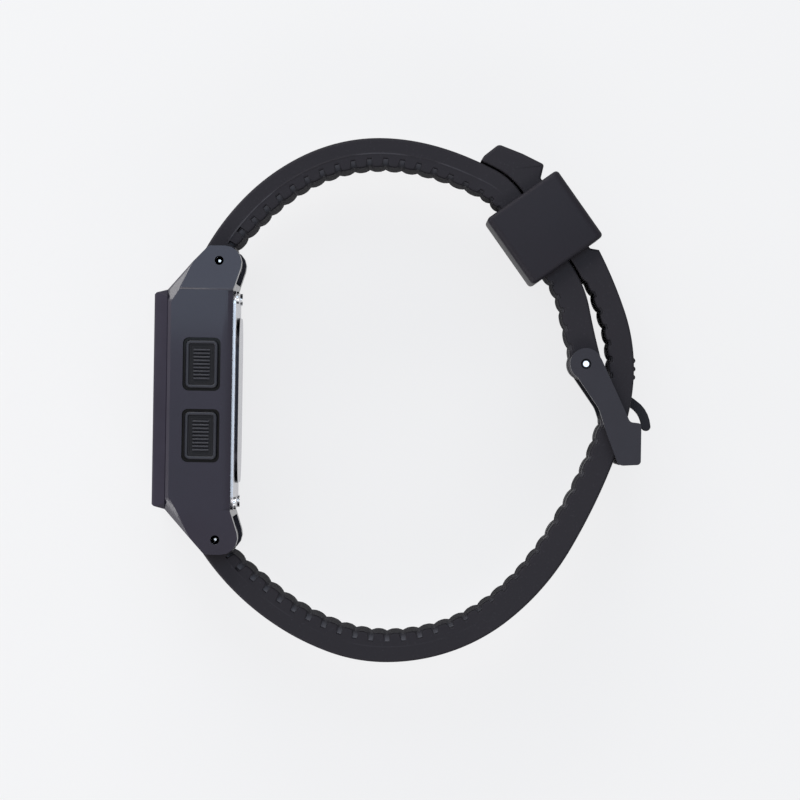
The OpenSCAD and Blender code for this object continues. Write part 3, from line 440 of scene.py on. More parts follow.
def board_look():
    material, tree = new_material("board_green")
    turned = add(tree, "ShaderNodeMapping", {"Vector": object_place(tree),
                 "Rotation": (0, math.pi / 2, 0)})
    track = add(tree, "ShaderNodeTexBrick", {"Vector": turned.outputs[0], "Scale": 420.0,
                "Color1": (0.012, 0.10, 0.055, 1), "Color2": (0.018, 0.13, 0.07, 1),
                "Mortar": (0.03, 0.20, 0.10, 1), "Mortar Size": 0.06})
    skin(tree, {"Base Color": track.outputs["Color"], "Roughness": 0.35,
                "Normal": bump(tree, track.outputs["Fac"], 0.01 * MM)})
    return material


def layers(tree, place, mixed):
    wave = add(tree, "ShaderNodeTexWave", {"Vector": place, "Scale": 900.0, "Distortion": 0.0},
               bands_direction="Z")
    dark = spread(tree, wave.outputs["Fac"], 0.55, 0.65, 0.0, 0.85)
    return tint(tree, dark, mixed, (0.02, 0.02, 0.02))


mineral_glass, board_green = glass_look(), board_look()
display_grey = moulded("display_grey", (0.30, 0.34, 0.27), (0.32, 0.36, 0.29), 0.28,
                       grain_mm=0.08, depth_mm=0.002, cloud_mm=12, rough_play=0.03)
display_ink = moulded("display_ink", (0.012, 0.013, 0.016), (0.016, 0.017, 0.02), 0.3,
                      grain_mm=0.1, depth_mm=0.001, cloud_mm=2)
connector_rubber = moulded("connector_rubber", (0.62, 0.30, 0.36), (0.68, 0.34, 0.40), 0.5,
                           extra=layers)
print("all finishes:", len(bpy.data.materials) - 1)

# %% [markdown]
# ## Finishes for the hard CAD parts
#
# Each CAD node keeps its mesh, and only its material slot is filled.

# %% Paint the CAD nodes
SIDES, BARS = {"right": 1, "left": -1}, {"bar_upper": 1, "bar_lower": -1}
PUSHERS = {f"pusher_{name}_{row_name}": (side, row) for name, side in SIDES.items()
           for row_name, row in (("upper", 1), ("lower", -1))}


def paint(look, *names):
    for name in names:
        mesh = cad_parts[name].data
        mesh.materials.clear()
        mesh.materials.append(look)


paint(case_resin, "case_body", "bezel")
paint(pusher_resin, *PUSHERS)
paint(mineral_glass, "crystal")
paint(seal_rubber, "crystal_gasket", "back_gasket", *[p + "_seal" for p in PUSHERS])
paint(connector_rubber, "display_connectors")
paint(mask_black, "display_mask")
paint(display_grey, "lcd_cell")
paint(diffuser_white, "backlight_panel", "module_frame")
paint(board_green, "circuit_board")
paint(chip_black, "driver_chip")
paint(brass, "buzzer_disc", "buzzer_spring", "pusher_contacts")
paint(brushed_steel, "case_back", "battery_clip", "battery")
paint(pin_steel, "buckle_pin")
paint(tip_steel, *[f"{bar}_tip_{side}" for bar in BARS for side in SIDES])
paint(turned_steel, "back_screws", "quartz_crystal", *[bar + "_tube" for bar in BARS],
      *[p + "_clip" for p in PUSHERS])
paint(spring_wire, *[name + "_spring" for name in (*BARS, *PUSHERS)])
paint(buckle_coating, "buckle_frame")
paint(tongue_coating, "tongue")
paint(strap_rubber, "strap_short", "strap_long")
paint(keeper_rubber, "keeper")
print("painted", sum(bool(o.data.materials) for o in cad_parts.values()), "nodes")

# %% [markdown]
# ## The path of the strap
#
# Buckled rubber springs into one smooth loop. Its outer line is a chain of arcs: two arcs join
# each pair of poses, a pose being a point with a heading, so that the line never kinks. These
# are the same poses as in the CAD source, so the new straps lie exactly where the solids are.

# %% Headings and arcs
def ahead(angle):
    return Vector((math.cos(math.radians(angle)), math.sin(math.radians(angle))))


def leftward(angle):
    return Vector((-math.sin(math.radians(angle)), math.cos(math.radians(angle))))


def heading(way):
    return math.degrees(math.atan2(way.y, way.x))


def arc(start, angle, end):
    """Arc from start at a heading to end, as (start, heading, turn, length)."""
    way = end - start
    half = heading(way) - angle
    half -= 360 * round(half / 360)
    bend = math.radians(half)
    length = way.length if abs(half) < 0.01 else way.length * bend / math.sin(bend)
    return start, angle, 2 * half, length


def two_arcs(a, b):
    p, q = Vector(a[:2]), Vector(b[:2])
    t, u = ahead(a[2]), ahead(b[2])
    v = q - p
    w, m = 2 * (1 - t.dot(u)), v.dot(t + u)
    d = v.dot(v) / (2 * m) if w < 0.0001 else (math.sqrt(m * m + w * v.dot(v)) - m) / w
    middle = (p + q + d * (t - u)) / 2
    first = arc(p, a[2], middle)
    return [first, arc(middle, a[2] + first[2], q)]


class Path:
    def __init__(self, poses):
        self.arcs = [part for a, b in zip(poses, poses[1:]) for part in two_arcs(a, b)]
        self.length = sum(part[3] for part in self.arcs)

    def pose(self, s):
        for start, angle, turn, length in self.arcs:
            if s <= length or (start, angle, turn, length) == self.arcs[-1]:
                half = turn / 2 * s / length
                bend = math.radians(turn / 2)
                chord = s if abs(turn) < 0.02 else length * math.sin(math.radians(half)) / bend
                return start + chord * ahead(angle + half), angle + 2 * half
            s -= length

    def beside(self, s, left):
        point, angle = self.pose(s)
        return point + left * leftward(angle)

    def nearest(self, target, step=0.1):
        steps = int(self.length / step)
        return step * min(range(steps + 1),
                          key=lambda i: (self.pose(i * step)[0] - target).length)


# %% The two straps' outer lines
KNUCKLE = 2.9
PIN = Vector(PIN_AT)
PIN_ROUND = 2.5
KEEPER, KEEPER_TURN = Vector((60, 27.5)), -54
NOTCH_HALF, LAP, SOFT_GAP, NOTCH_T = 6.65, 0.15, 0.3, 3.5
LAP_Y = LAP + SOFT_GAP
TOP, BOTTOM, MIDDLE = 41, 40.2, 35.4


def in_keeper(x, y):
    return KEEPER + x * ahead(KEEPER_TURN) + y * leftward(KEEPER_TURN)


bar_up, bar_down = Vector((BAR_X, BAR_Y)), Vector((BAR_X, -BAR_Y))
short = Path([
    (*(bar_up + KNUCKLE * leftward(62)), 62), (MIDDLE - 13.3, TOP - 3.1, 27.5),
    (MIDDLE - 0.8, TOP, 0), (MIDDLE + 11.6, TOP - 2.35, -20.5),
    (*in_keeper(-NOTCH_HALF, LAP), KEEPER_TURN), (*in_keeper(NOTCH_HALF, LAP), KEEPER_TURN),
    (*(PIN + PIN_ROUND * leftward(-74)), -74)])
long = Path([
    (*(bar_down - KNUCKLE * leftward(-56)), -56), (MIDDLE - 15.6, 5.2 - BOTTOM, -32),
    (MIDDLE + 0.8, -BOTTOM, 0), (MIDDLE + 19.9, 6.7 - BOTTOM, 39),
    (PIN.x + 4.3, PIN.y - 15.7, 69), (PIN.x + 7.5, PIN.y - 1.9, 88),
    (*in_keeper(NOTCH_HALF + 1, LAP_Y + NOTCH_T + 1), KEEPER_TURN + 172)])
SWING, TONGUE_TURN = 8, -40
used_hole = long.nearest(PIN + 8.6 * ahead(TONGUE_TURN + SWING / 2))
print("short strap:", round(short.length, 1), "mm, long strap:", round(long.length, 1), "mm")

# %% [markdown]
# ## A strap as a solid
#
# Seen from the side each strap is one closed outline: the outer line, the round end, the inner
# line, and the knuckle that holds the spring bar. The outline could be extruded by hand, but
# here it's swept in code, since the strap also gets narrower on its way to the buckle. The
# edges along both sides are rounded, as a mould needs them.
#
# A mould leaves a fine raised line where its two halves met. It runs along both sides of the
# strap, so the sides get five extra rows of points there.
#
# Each point of the mesh carries attributes for the tree that comes next: how far along the strap
# it is, whether it is on the ribbed side, which way the wrist is, how close the strap's edge is,
# whether it is past the rounded edge, and whether it is on the parting line. One more is for the
# material: the ribbed side is marked as crest, where the rubber is matt and is made darker by
# painted shade.

# %% Outline tools
RIB_PITCH, RIB_HEIGHT, RIB_START = 2.9, 0.45, 3.2
STRAP_T, STRAP_T_CASE, TAIL_T = 4.5, 3.9, 3.9
HALF_WIDE, HALF_NARROW, NARROW_FROM, NARROW_TO = 12.7, 10.0, 14.3, 49.4


def ramp(s, a, b):
    return min(1.0, max(0.0, (s - a) / (b - a)))


def half_width(x):
    return HALF_WIDE + (HALF_NARROW - HALF_WIDE) * ramp(x, NARROW_FROM, NARROW_TO)


def taper_at(x):
    slope = (HALF_NARROW - HALF_WIDE) / (NARROW_TO - NARROW_FROM)
    return slope if NARROW_FROM < x < NARROW_TO else 0.0


def short_t(s):
    return STRAP_T_CASE + (STRAP_T - STRAP_T_CASE) * ramp(s, 3, 10)


def long_t(s):
    return short_t(s) - (STRAP_T - TAIL_T) * ramp(s, used_hole - 30, used_hole - 10)


def round_corner(a, p, b, r, n=5):
    u, v = (a - p).normalized(), (b - p).normalized()
    half = math.acos(max(-1, min(1, u.dot(v)))) / 2
    c = p + (u + v).normalized() * r / math.sin(half)
    s, e = p + u * r / math.tan(half) - c, p + v * r / math.tan(half) - c
    start = heading(s)
    turn = heading(e) - start
    turn -= 360 * round(turn / 360)
    return [c + r * ahead(start + turn * i / n) for i in range(n + 1)]


def around(centre, radius, start, end, n):
    """Points round an end, from one point's direction to another's, going clockwise if n < 0."""
    a, b = heading(start - centre), heading(end - centre)
    sweep = (b - a) % 360 if n > 0 else -((a - b) % 360)
    return [centre + radius * ahead(a + sweep * i / abs(n)) for i in range(1, abs(n))]


def leaves_circle(path, centre, radius, side, thickness, stations):
    """First station whose inner line is outside the round end."""
    for s in stations:
        if (path.beside(s, side * thickness(s)) - centre).length > radius:
            return s


# %% [markdown]
# `strap_mesh` takes the two long lines as pairs of points, and the two ends as loose runs of
# points. Between the lines the side of the strap is a ladder of narrow faces, so that it can
# taper without creases, and each end is closed by one flat face.

# %% Tools for skins
def inward(outline, i):
    """Direction into an outline at one of its points."""
    way = (outline[(i + 1) % len(outline)] - outline[i - 1]).normalized()
    return Vector((-way.y, way.x))


def quarter(r, steps):
    """Inset and drop of each point of a rounded edge, from the flat side round it."""
    turns = [math.pi / 2 * k / steps for k in range(steps + 1)]
    return [(r * (1 - math.sin(a)), r * (1 - math.cos(a))) for a in turns]


def bands(n, rings, closed=False):
    """Faces between neighbouring rings of n points each."""
    return [(k * n + i, k * n + (i + 1) % n, (k + 1) % rings * n + (i + 1) % n,
             (k + 1) % rings * n + i) for k in range(rings if closed else rings - 1)
            for i in range(n)]


# %% Points of a strap's skin
EDGE_ROUND, EDGE_STEPS, SIDE_MARGIN = 0.35, 4, 0.15
INNER_LEVELS = ((0.6, 0.8), (0.85, 0.5), (1.1, 0.22), (1.4, 0.0))
PARTING_FROM_OUTSIDE, PARTING_ROWS, PARTING_FADE = 2.38, (-0.3, -0.14, 0, 0.14, 0.3), 10


def strap_levels():
    """Rings from one side to the other, as inset, drop, edge, inside, crest and side."""
    rings = [(EDGE_ROUND + SIDE_MARGIN, 0, 1.0, 0.0, 0.0)]
    rings += [(d, h, 1.0, float(k == EDGE_STEPS), float(k > 1))
              for k, (d, h) in enumerate(quarter(EDGE_ROUND, EDGE_STEPS))]
    rings += [(0, h, e, 1.0, 1.0) for h, e in INNER_LEVELS]
    return [(*ring, 1) for ring in rings] + [(*ring, -1) for ring in reversed(rings)]


def skin_points(flat, run, ribbed, wrist):
    """Each point of the skin, and what the tree for ribs is told about it."""
    points, marks = [], []
    for d, h, e, inside, crest, sign in strap_levels():
        for i, p in enumerate(flat):
            spot = p + d * inward(flat, i)
            points.append(raised(spot, sign * (half_width(spot.x) - h)))
            lean = sign * taper_at(spot.x) * wrist[i].x
            marks.append((run[i], ribbed[i], (wrist[i].x, wrist[i].y, lean), e, inside, 0.0,
                          crest * ribbed[i]))
    return points, marks


def parting_points(path, side, stations):
    """Rows of points along both sides, the middle one on the parting line."""
    points, marks = [], []
    for sign in (1, -1):
        for d in PARTING_ROWS:
            for i, s in enumerate(stations):
                spot = path.beside(s, side * (PARTING_FROM_OUTSIDE + d))
                points.append(raised(spot, sign * half_width(spot.x)))
                line = sign * min(1.0, min(i, len(stations) - 1 - i) / PARTING_FADE)
                marks.append((s, 0.0, (0, 0, 0), 0.0, 0.0, 0.0 if d else line, 0.0))
    return points, marks


# %% Build a strap's mesh
def side_faces(outer, rows, inner, far, near):
    """A ladder of narrow faces between the long lines, and one flat face at each end."""
    ladder = [outer, *rows, inner]
    faces = [(a[i], a[i + 1], b[i + 1], b[i]) for a, b in zip(ladder, ladder[1:])
             for i in range(len(a) - 1)]
    return faces + [far + [row[-1] for row in rows[::-1]], near + [row[0] for row in rows]]


def strap_mesh(name, path, side, thickness, stations, far_end, near_end):
    inner = [path.beside(s, side * thickness(s)) for s in stations]
    flat = [path.beside(s, 0) for s in stations] + far_end + inner[::-1] + near_end
    n, count = len(flat), len(stations)
    first_inner = count + len(far_end)
    run, ribbed, wrist = [0.0] * n, [0.0] * n, [Vector((0, 0))] * n
    for i, s in enumerate(stations):
        k = first_inner + count - 1 - i
        run[k], ribbed[k] = s, 1.0 if s > RIB_START else 0.0
        wrist[k] = side * leftward(path.pose(s)[1])
    if side < 0:
        flat, run, ribbed, wrist = (list(reversed(x)) for x in (flat, run, ribbed, wrist))
    points, marks = skin_points(flat, run, ribbed, wrist)
    grid = len(points)
    more_points, more_marks = parting_points(path, side, stations)
    faces = [(a, d, c, b) for a, b, c, d in bands(n, grid // n)]
    for base, first_row in ((0, grid), (grid - n, grid + len(more_points) // 2)):
        ring = [base + (n - 1 - i if side < 0 else i) for i in range(n)]
        rows = [[first_row + r * count + i for i in range(count)]
                for r in range(len(PARTING_ROWS))]
        loops = side_faces(ring[:count], rows, ring[first_inner:first_inner + count][::-1],
                           ring[count - 1:first_inner + 1],
                           ring[first_inner + count - 1:] + ring[:1])
        faces += [tuple(loop if (side > 0) == (base == 0) else loop[::-1]) for loop in loops]
    mesh = bpy.data.meshes.new(name)
    mesh.from_pydata(points + more_points, [], faces)
    titles = ("run", "ribbed", "wrist", "edge", "inside", "parting", "crest")
    for title, values in zip(titles, zip(*(marks + more_marks))):
        if title == "wrist":
            mesh.attributes.new(title, "FLOAT_VECTOR", "POINT").data.foreach_set(
                "vector", [c for value in values for c in value])
        else:
            mesh.attributes.new(title, "FLOAT", "POINT").data.foreach_set("value", values)
    mesh.update()
    return mesh


STATION_STEP = RIB_PITCH / 18


def stations_between(a, b):
    n = math.ceil((b - a) / STATION_STEP)
    return [a + (b - a) * i / n for i in range(n + 1)]


# %% The short strap's outline
FINE_STEP, FINE_COUNT = 0.05, 400
KNUCKLE_POINTS, PIN_POINTS, LEAD_POINTS, LAST_POINTS = 28, 20, 6, 4


def knuckle_end(path, bar, side, thickness, start):
    """Round the spring bar, and on along the outer line to where the stations begin."""
    under = path.beside(start, side * thickness(start))
    return (around(bar, KNUCKLE, under, path.beside(0, 0), side * KNUCKLE_POINTS)
            + [path.beside(start * i / LEAD_POINTS, 0) for i in range(LEAD_POINTS)])


fine = [i * FINE_STEP for i in range(FINE_COUNT)]
short_from = leaves_circle(short, bar_up, KNUCKLE, -1, short_t, fine)
short_to = leaves_circle(short, PIN, PIN_ROUND, -1, short_t, [short.length - s for s in fine])
short_far = [short.beside(short_to + (short.length - short_to) * i / LAST_POINTS, 0)
             for i in range(1, LAST_POINTS + 1)]
short_far += around(PIN, PIN_ROUND, short_far[-1],
                    short.beside(short_to, -short_t(short_to)), -PIN_POINTS)
short_mesh = strap_mesh("strap_short_skin", short, -1, short_t,
                        stations_between(short_from, short_to), short_far,
                        knuckle_end(short, bar_up, -1, short_t, short_from))
print("short strap:", len(short_mesh.vertices), "points")

# %% [markdown]
# The tail of the long strap has a notch for the keeper and a thick head after it. The head
# can't slip back through the keeper, so the tail stays put: that's this strap's locking trick.

# %% The long strap's outline
HEAD, HEAD_LIFT, LAP_STEP, END_L, END_POINTS = 8.2, 1.65, 0.8, 4, 8


def lap_line():
    start = short.nearest(in_keeper(NOTCH_HALF + 3, LAP))
    end = short.nearest(in_keeper(-NOTCH_HALF - HEAD + 0.3, LAP_Y - 2))
    n = math.ceil((start - end) / LAP_STEP)
    return [short.beside(start + (end - start) * i / n, SOFT_GAP) for i in range(n + 1)]


def head_line(nose_to):
    low, x = LAP_Y + NOTCH_T, -NOTCH_HALF
    nose = x - HEAD
    corners = [in_keeper(*c) for c in (
        (NOTCH_HALF + 1, low + 1), (NOTCH_HALF, low), (x, low), (x - 1.45, low + HEAD_LIFT),
        (x - 4.7, low - 0.1), (nose + 0.15, low - 2.3), (nose + 0.3, low - 5.2))] + [nose_to]
    radii = [0, 0.4, 0.4, 0.45, 4, 0.9, 1.2]
    return [p for i in range(1, 7)
            for p in round_corner(corners[i - 1], corners[i], corners[i + 1], radii[i], 5)]


lap = lap_line()
long_from = leaves_circle(long, bar_down, KNUCKLE, 1, long_t, fine)
long_to = long.length - END_L
long_far = [long.beside(long_to + END_L * i / END_POINTS, 0) for i in range(1, END_POINTS + 1)]
long_far += head_line(lap[-1]) + lap[::-1]
long_mesh = strap_mesh("strap_long_skin", long, 1, long_t, stations_between(long_from, long_to),
                       long_far, knuckle_end(long, bar_down, 1, long_t, long_from))
print("long strap:", len(long_mesh.vertices), "points")

# %% [markdown]
# ## Ribs with Geometry Nodes
#
# The inside of the strap is ribbed, so that air and sweat can pass under it. The ribs follow a
# rule: wide crests at an even pitch, with narrow grooves between them, which open into deeper
# mouths at the strap's edges. A node tree turns the rule into a shape. It reads each point's
# distance along the strap, works out how deep the groove is there, and moves the point away
# from the wrist by that much. It also raises the parting line, and stores how deep each groove
# is and where the line runs, because the rubber's material reads both. The pitch and depths
# are inputs of the tree, so another strap only needs other numbers.

# %% Tools for node trees
def new_tree(name, inputs):
    """A geometry tree whose inputs are numbers, directions and one material."""
    tree = bpy.data.node_groups.new(name, "GeometryNodeTree")

    def socket(title, kind, in_out="INPUT"):
        return tree.interface.new_socket(title, in_out=in_out, socket_type="NodeSocket" + kind)

    socket("Geometry", "Geometry")
    for title, value in inputs.items():
        kind = "Vector" if isinstance(value, tuple) else "Float"
        socket(title, kind).default_value = value
    socket("Material", "Material")
    socket("Geometry", "Geometry", "OUTPUT")
    return tree, tree.nodes.new("NodeGroupInput").outputs


def end_tree(tree, shape, look):
    real = add(tree, "GeometryNodeRealizeInstances", {"Geometry": shape})
    dressed = add(tree, "GeometryNodeSetMaterial", {"Geometry": real.outputs[0], "Material": look})
    add(tree, "NodeGroupOutput", {"Geometry": dressed.outputs[0]})


def applied(name, holder):
    """The object with its modifier applied, as a plain mesh. The object itself goes."""
    depsgraph = bpy.context.evaluated_depsgraph_get()
    made = bpy.data.meshes.new_from_object(holder.evaluated_get(depsgraph))
    bpy.data.objects.remove(holder)
    made.name = name
    return made


def run_tree(name, mesh, tree, values):
    """Feeds a mesh to a tree and returns the result as a plain mesh."""
    holder = link(name + "_source", mesh)
    modifier = holder.modifiers.new("nodes", "NODES")
    modifier.node_group = tree
    sockets = {s.name: s.identifier for s in tree.interface.items_tree if s.in_out == "INPUT"}
    for title, value in values.items():
        modifier[sockets[title]] = value
    return applied(name, holder)


def scaled(tree, direction, length):
    return add(tree, "ShaderNodeVectorMath", {0: direction, "Scale": length},
               operation="SCALE").outputs[0]


# %% The rib tree
def rib_tree():
    tree, given = new_tree("strap_ribs", {
        "Pitch": RIB_PITCH, "Height": RIB_HEIGHT * MM, "Start": RIB_START, "Crest": 0.4,
        "Mouth": 0.64, "Mouth Floor": 0.46, "Mouth Depth": 1.25 * MM, "Last Depth": 0.5 * MM,
        "Fade From": 35.0, "Fade To": 60.0, "Parting Line": 0.06 * MM, "Line Shows": 1.0,
        "Line From": 60.0, "Line To": 45.0})

    def read(title, kind="FLOAT"):
        return add(tree, "GeometryNodeInputNamedAttribute", {"Name": title},
                   data_type=kind).outputs[0]

    def store(shape, title, value):
        return add(tree, "GeometryNodeStoreNamedAttribute", {
            "Geometry": shape, "Name": title, "Value": value},
            data_type="FLOAT", domain="POINT").outputs[0]

    def times(first, *others):
        for value in others:
            first = calc(tree, "MULTIPLY", first, value)
        return first

    run = read("run")
    turns = calc(tree, "DIVIDE", calc(tree, "SUBTRACT", run, given["Start"]), given["Pitch"])
    wave = calc(tree, "ABSOLUTE", calc(tree, "SINE", times(turns, math.pi)))
    crest = calc(tree, "SUBTRACT", 1.0, calc(tree, "POWER", wave, given["Crest"]))
    narrow = times(given["Height"], crest)
    mouth = spread(tree, wave, given["Mouth"], given["Mouth Floor"],
                   interpolation_type="SMOOTHSTEP")
    deep = spread(tree, run, given["Fade From"], given["Fade To"], given["Mouth Depth"],
                  given["Last Depth"], interpolation_type="SMOOTHSTEP")
    wide = times(mouth, read("edge"), deep)
    depth = times(read("ribbed"), calc(tree, "MAXIMUM", narrow, wide))
    groove = calc(tree, "DIVIDE", depth, given["Mouth Depth"])
    lift = scaled(tree, read("wrist", "FLOAT_VECTOR"), times(depth, -1.0))
    parting = read("parting")
    shows = spread(tree, run, given["Line From"], given["Line To"], 0.0, given["Line Shows"])
    line = add(tree, "ShaderNodeCombineXYZ", {"Z": times(given["Parting Line"], shows, parting)})
    both = vector(tree, "ADD", lift, line.outputs[0])
    moved = add(tree, "GeometryNodeSetPosition", {"Geometry": given["Geometry"],
                "Offset": both.outputs[0]}).outputs[0]
    # The groove's depth, which the material turns into a painted highlight where it is deep.
    shape = store(moved, "groove", times(groove, read("inside")))
    # Where the parting line shows, which the material uses for a painted highlight along it.
    shape = store(shape, "line", times(shows, calc(tree, "ABSOLUTE", parting)))
    end_tree(tree, shape, given["Material"])
    return tree


ribs = rib_tree()
short_ribbed = run_tree("strap_short_ribbed", short_mesh, ribs, {"Material": strap_rubber})
long_ribbed = run_tree("strap_long_ribbed", long_mesh, ribs,
                       {"Material": strap_rubber, "Line Shows": 0.2})
print("ribs along the long strap:", int((long_to - RIB_START) / RIB_PITCH))

# %% [markdown]
# ## Holes through the straps
#
# Buckle holes, the slot for the tongue and the bores for the bars are cut with the Boolean
# modifier. A cutter with rounded corners leaves a rounded hole, as a moulded one has.

# %% Outlines and prisms
def stack(rings):
    """Closed solid through rings with as many points each."""
    n, points = len(rings[0]), [p for ring in rings for p in ring]
    ends = [tuple(range(n))[::-1], tuple(range(len(points) - n, len(points)))]
    return points, ends + bands(n, len(rings))


def prism(outline, low, high, place=raised):
    """Closed solid between two heights over an outline, counterclockwise, in millimetres."""
    return stack([[place(p, z) for p in outline] for z in (low, high)])


def disc(centre, radius, n=32):
    return [centre + radius * ahead(360 * i / n) for i in range(n)]


def rounded_box(half_a, half_b, r, n=5):
    corners = [Vector(c) for c in ((-half_a, -half_b), (half_a, -half_b), (half_a, half_b),
                                   (-half_a, half_b))]
    return [p for i in range(4)
            for p in round_corner(corners[i - 1], corners[i], corners[(i + 1) % 4], r, n)]


def to_mesh(name, solid):
    mesh = bpy.data.meshes.new(name)
    solid.to_mesh(mesh)
    solid.free()
    return mesh


def closed_mesh(name, points, faces):
    """A mesh of these faces, all turned outwards."""
    mesh = bpy.data.meshes.new(name)
    mesh.from_pydata(points, [], faces)
    solid = bmesh.new()
    solid.from_mesh(mesh)
    bmesh.ops.recalc_face_normals(solid, faces=solid.faces)
    bpy.data.meshes.remove(mesh)
    return to_mesh(name, solid)


def join(name, solids):
    points, faces = [], []
    for more_points, more_faces in solids:
        faces += [tuple(i + len(points) for i in face) for face in more_faces]
        points += more_points
    return closed_mesh(name, points, faces)


def cut(name, mesh, cutters):
    """Mesh less the cutters."""
    holder, tool = link(name + "_whole", mesh), link(name + "_cutter", join("cutter", cutters))
    modifier = holder.modifiers.new("cut", "BOOLEAN")
    modifier.object, modifier.operation, modifier.solver = tool, "DIFFERENCE", "EXACT"
    made = applied(name, holder)
    bpy.data.objects.remove(tool)
    return made


# %% Cut both straps
BAR_BORE, PIN_BORE, THROUGH = 0.95, 0.65, 20
TONGUE_W, TONGUE_T, TONGUE_ROOM, SLOT_FROM, SLOT_TO = 3.0, 1.4, 0.4, 2.2, 12
HOLE_L, HOLE_W, HOLE_R, HOLE_DEEP, HOLE_PITCH = 3.0, 3.6, 0.8, 9, 6.2


def strap_hole(s):
    """A slot across the long strap at distance s, as a prism along the strap's normal."""
    point, angle = long.pose(s)

    def place(p, h):
        return raised(point + p.x * ahead(angle) + h * leftward(angle), p.y)

    return prism(rounded_box(HOLE_L / 2, HOLE_W / 2, HOLE_R), -HOLE_DEEP, HOLE_DEEP, place)


def bore(centre, radius):
    return prism(disc(centre, radius), -THROUGH, THROUGH)


half_slot = TONGUE_W / 2 + SOFT_GAP
short_cut = cut("strap_short_rubber", short_ribbed, [
    bore(bar_up, BAR_BORE), bore(PIN, PIN_BORE),
    prism(disc(PIN, KNUCKLE + TONGUE_ROOM, 48), -half_slot, half_slot)])

reach = TONGUE_T / 2 + SOFT_GAP
used = [PIN + r * ahead(angle) + side * reach * leftward(angle) for r, angle, side in (
    (SLOT_FROM, TONGUE_TURN, -1), (SLOT_TO, TONGUE_TURN, -1),
    (SLOT_TO, TONGUE_TURN + SWING, 1), (SLOT_FROM, TONGUE_TURN + SWING, 1))]
holes = [strap_hole(used_hole + i * HOLE_PITCH) for i in (-4, -3, -2, -1, 1)]
long_cut = cut("strap_long_rubber", long_ribbed,
               [bore(bar_down, BAR_BORE), prism(used, -HOLE_W / 2, HOLE_W / 2)] + holes)
print("holes in the long strap:", len(holes) + 1)

# %% [markdown]
# A finished piece is shaded smooth, with real edges kept sharp. On parts with flat areas, weighted
# normals also keep these flat in the light. `dress` does this for every new piece, gives it its
# material, hangs it under an empty for the body it rides on, and hides the CAD solids it stands
# for.

# %% Finish a piece
FOR_THE_TREE = ("run", "ribbed", "wrist", "edge", "inside", "parting")
FLAT_WEIGHT, EASED_SHARP, ROUND_SHARP = 80, 35, 60


def shade(mesh, sharp):
    mesh.polygons.foreach_set("use_smooth", [True] * len(mesh.polygons))
    mesh.set_sharp_from_angle(angle=math.radians(sharp))


def weigh_normals(name, mesh):
    holder = link(name + "_flat", mesh)
    modifier = holder.modifiers.new("weights", "WEIGHTED_NORMAL")
    modifier.keep_sharp, modifier.weight = True, FLAT_WEIGHT
    return applied(name, holder)


def dress(name, mesh, look, body, stands_for=(), slot=None, sharp=40, weighted=False):
    for title in FOR_THE_TREE:
        if title in mesh.attributes:
            mesh.attributes.remove(mesh.attributes[title])
    shade(mesh, sharp)
    if weighted:
        mesh = weigh_normals(name, mesh)
    mesh.materials.clear()
    mesh.materials.append(look)
    piece = link(name, mesh)
    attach(piece, body)
    if stands_for:
        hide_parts(*stands_for)
    print(name, "has", len(mesh.polygons), "faces")
    return piece


dress("strap_short_rubber", short_cut, strap_rubber, "watch", ["strap_short"], "strap_rubber")
dress("strap_long_rubber", long_cut, strap_rubber, "watch", ["strap_long"], "strap_rubber")

# %% [markdown]
# ## Keeper
#
# The keeper is a thick rubber sleeve that holds both straps. It's a closed band with one
# profile all the way round: outer face, rounded edge, end, rounded edge, inner face. So each
# step round the sleeve gets the same short loop of points, and loops next to each other are
# joined by faces.

# %% A sleeve between two outlines
def sleeve(name, outer, inner, half_long, r_out, r_in, place, steps=4):
    """Sleeve between two outlines with as many points each, rounded at both ends."""
    profile = []
    for line, r, sign in ((outer, r_out, 1), (inner, r_in, -1)):
        near = [(line, sign * d, h - half_long) for d, h in quarter(r, steps)]
        far = [(line, d, -x) for _, d, x in reversed(near)]
        profile += (near + far) if sign > 0 else (near + far)[::-1]
    points = [place(line[i] + d * inward(line, i), x)
              for i in range(len(outer)) for line, d, x in profile]
    return closed_mesh(name, points, bands(len(profile), len(outer), True))


# %% Build the keeper
KEEPER_L, KEEPER_H, KEEPER_HALF, KEEPER_R, KEEPER_EDGE = 12.5, 13.4, 12.5, 1.2, 0.6
ROOM_LOW, ROOM_HIGH = LAP - STRAP_T - SOFT_GAP, LAP_Y + NOTCH_T + SOFT_GAP
ROOM_HALF, ROOM_R, ROOM_EDGE = HALF_NARROW + SOFT_GAP, 0.6, 0.4

room_mid, room_half = (ROOM_LOW + ROOM_HIGH) / 2, (ROOM_HIGH - ROOM_LOW) / 2
keeper_outer = rounded_box(KEEPER_H / 2, KEEPER_HALF, KEEPER_R, 8)
keeper_inner = [Vector((p.x + room_mid, p.y))
                for p in rounded_box(room_half, ROOM_HALF, ROOM_R, 8)]
keeper_mesh = sleeve("keeper_rubber", keeper_outer, keeper_inner, KEEPER_L / 2, KEEPER_EDGE,
                     ROOM_EDGE, lambda p, x: raised(in_keeper(x, p.x), p.y))
dress("keeper_rubber", keeper_mesh, keeper_rubber, "keeper_body", ["keeper"], "strap_rubber")

# %% [markdown]
# ## Eased edges
#
# No moulded or machined edge is perfectly sharp. Its small round is what catches the light and
# makes a part look real. A CAD node's mesh is loose triangles, so a copy is merged, its flat
# areas become single faces again, and only the true edges are rounded. Slivers that the
# rounding leaves are cleared away.

# %% Round the edges of a copy
SAME_PLACE, FLAT_WITHIN, SLIVER = 0.001 * MM, math.radians(1), 0.004 * MM
EDGE_LEAST, EDGE_MOST = math.radians(28), math.radians(180)


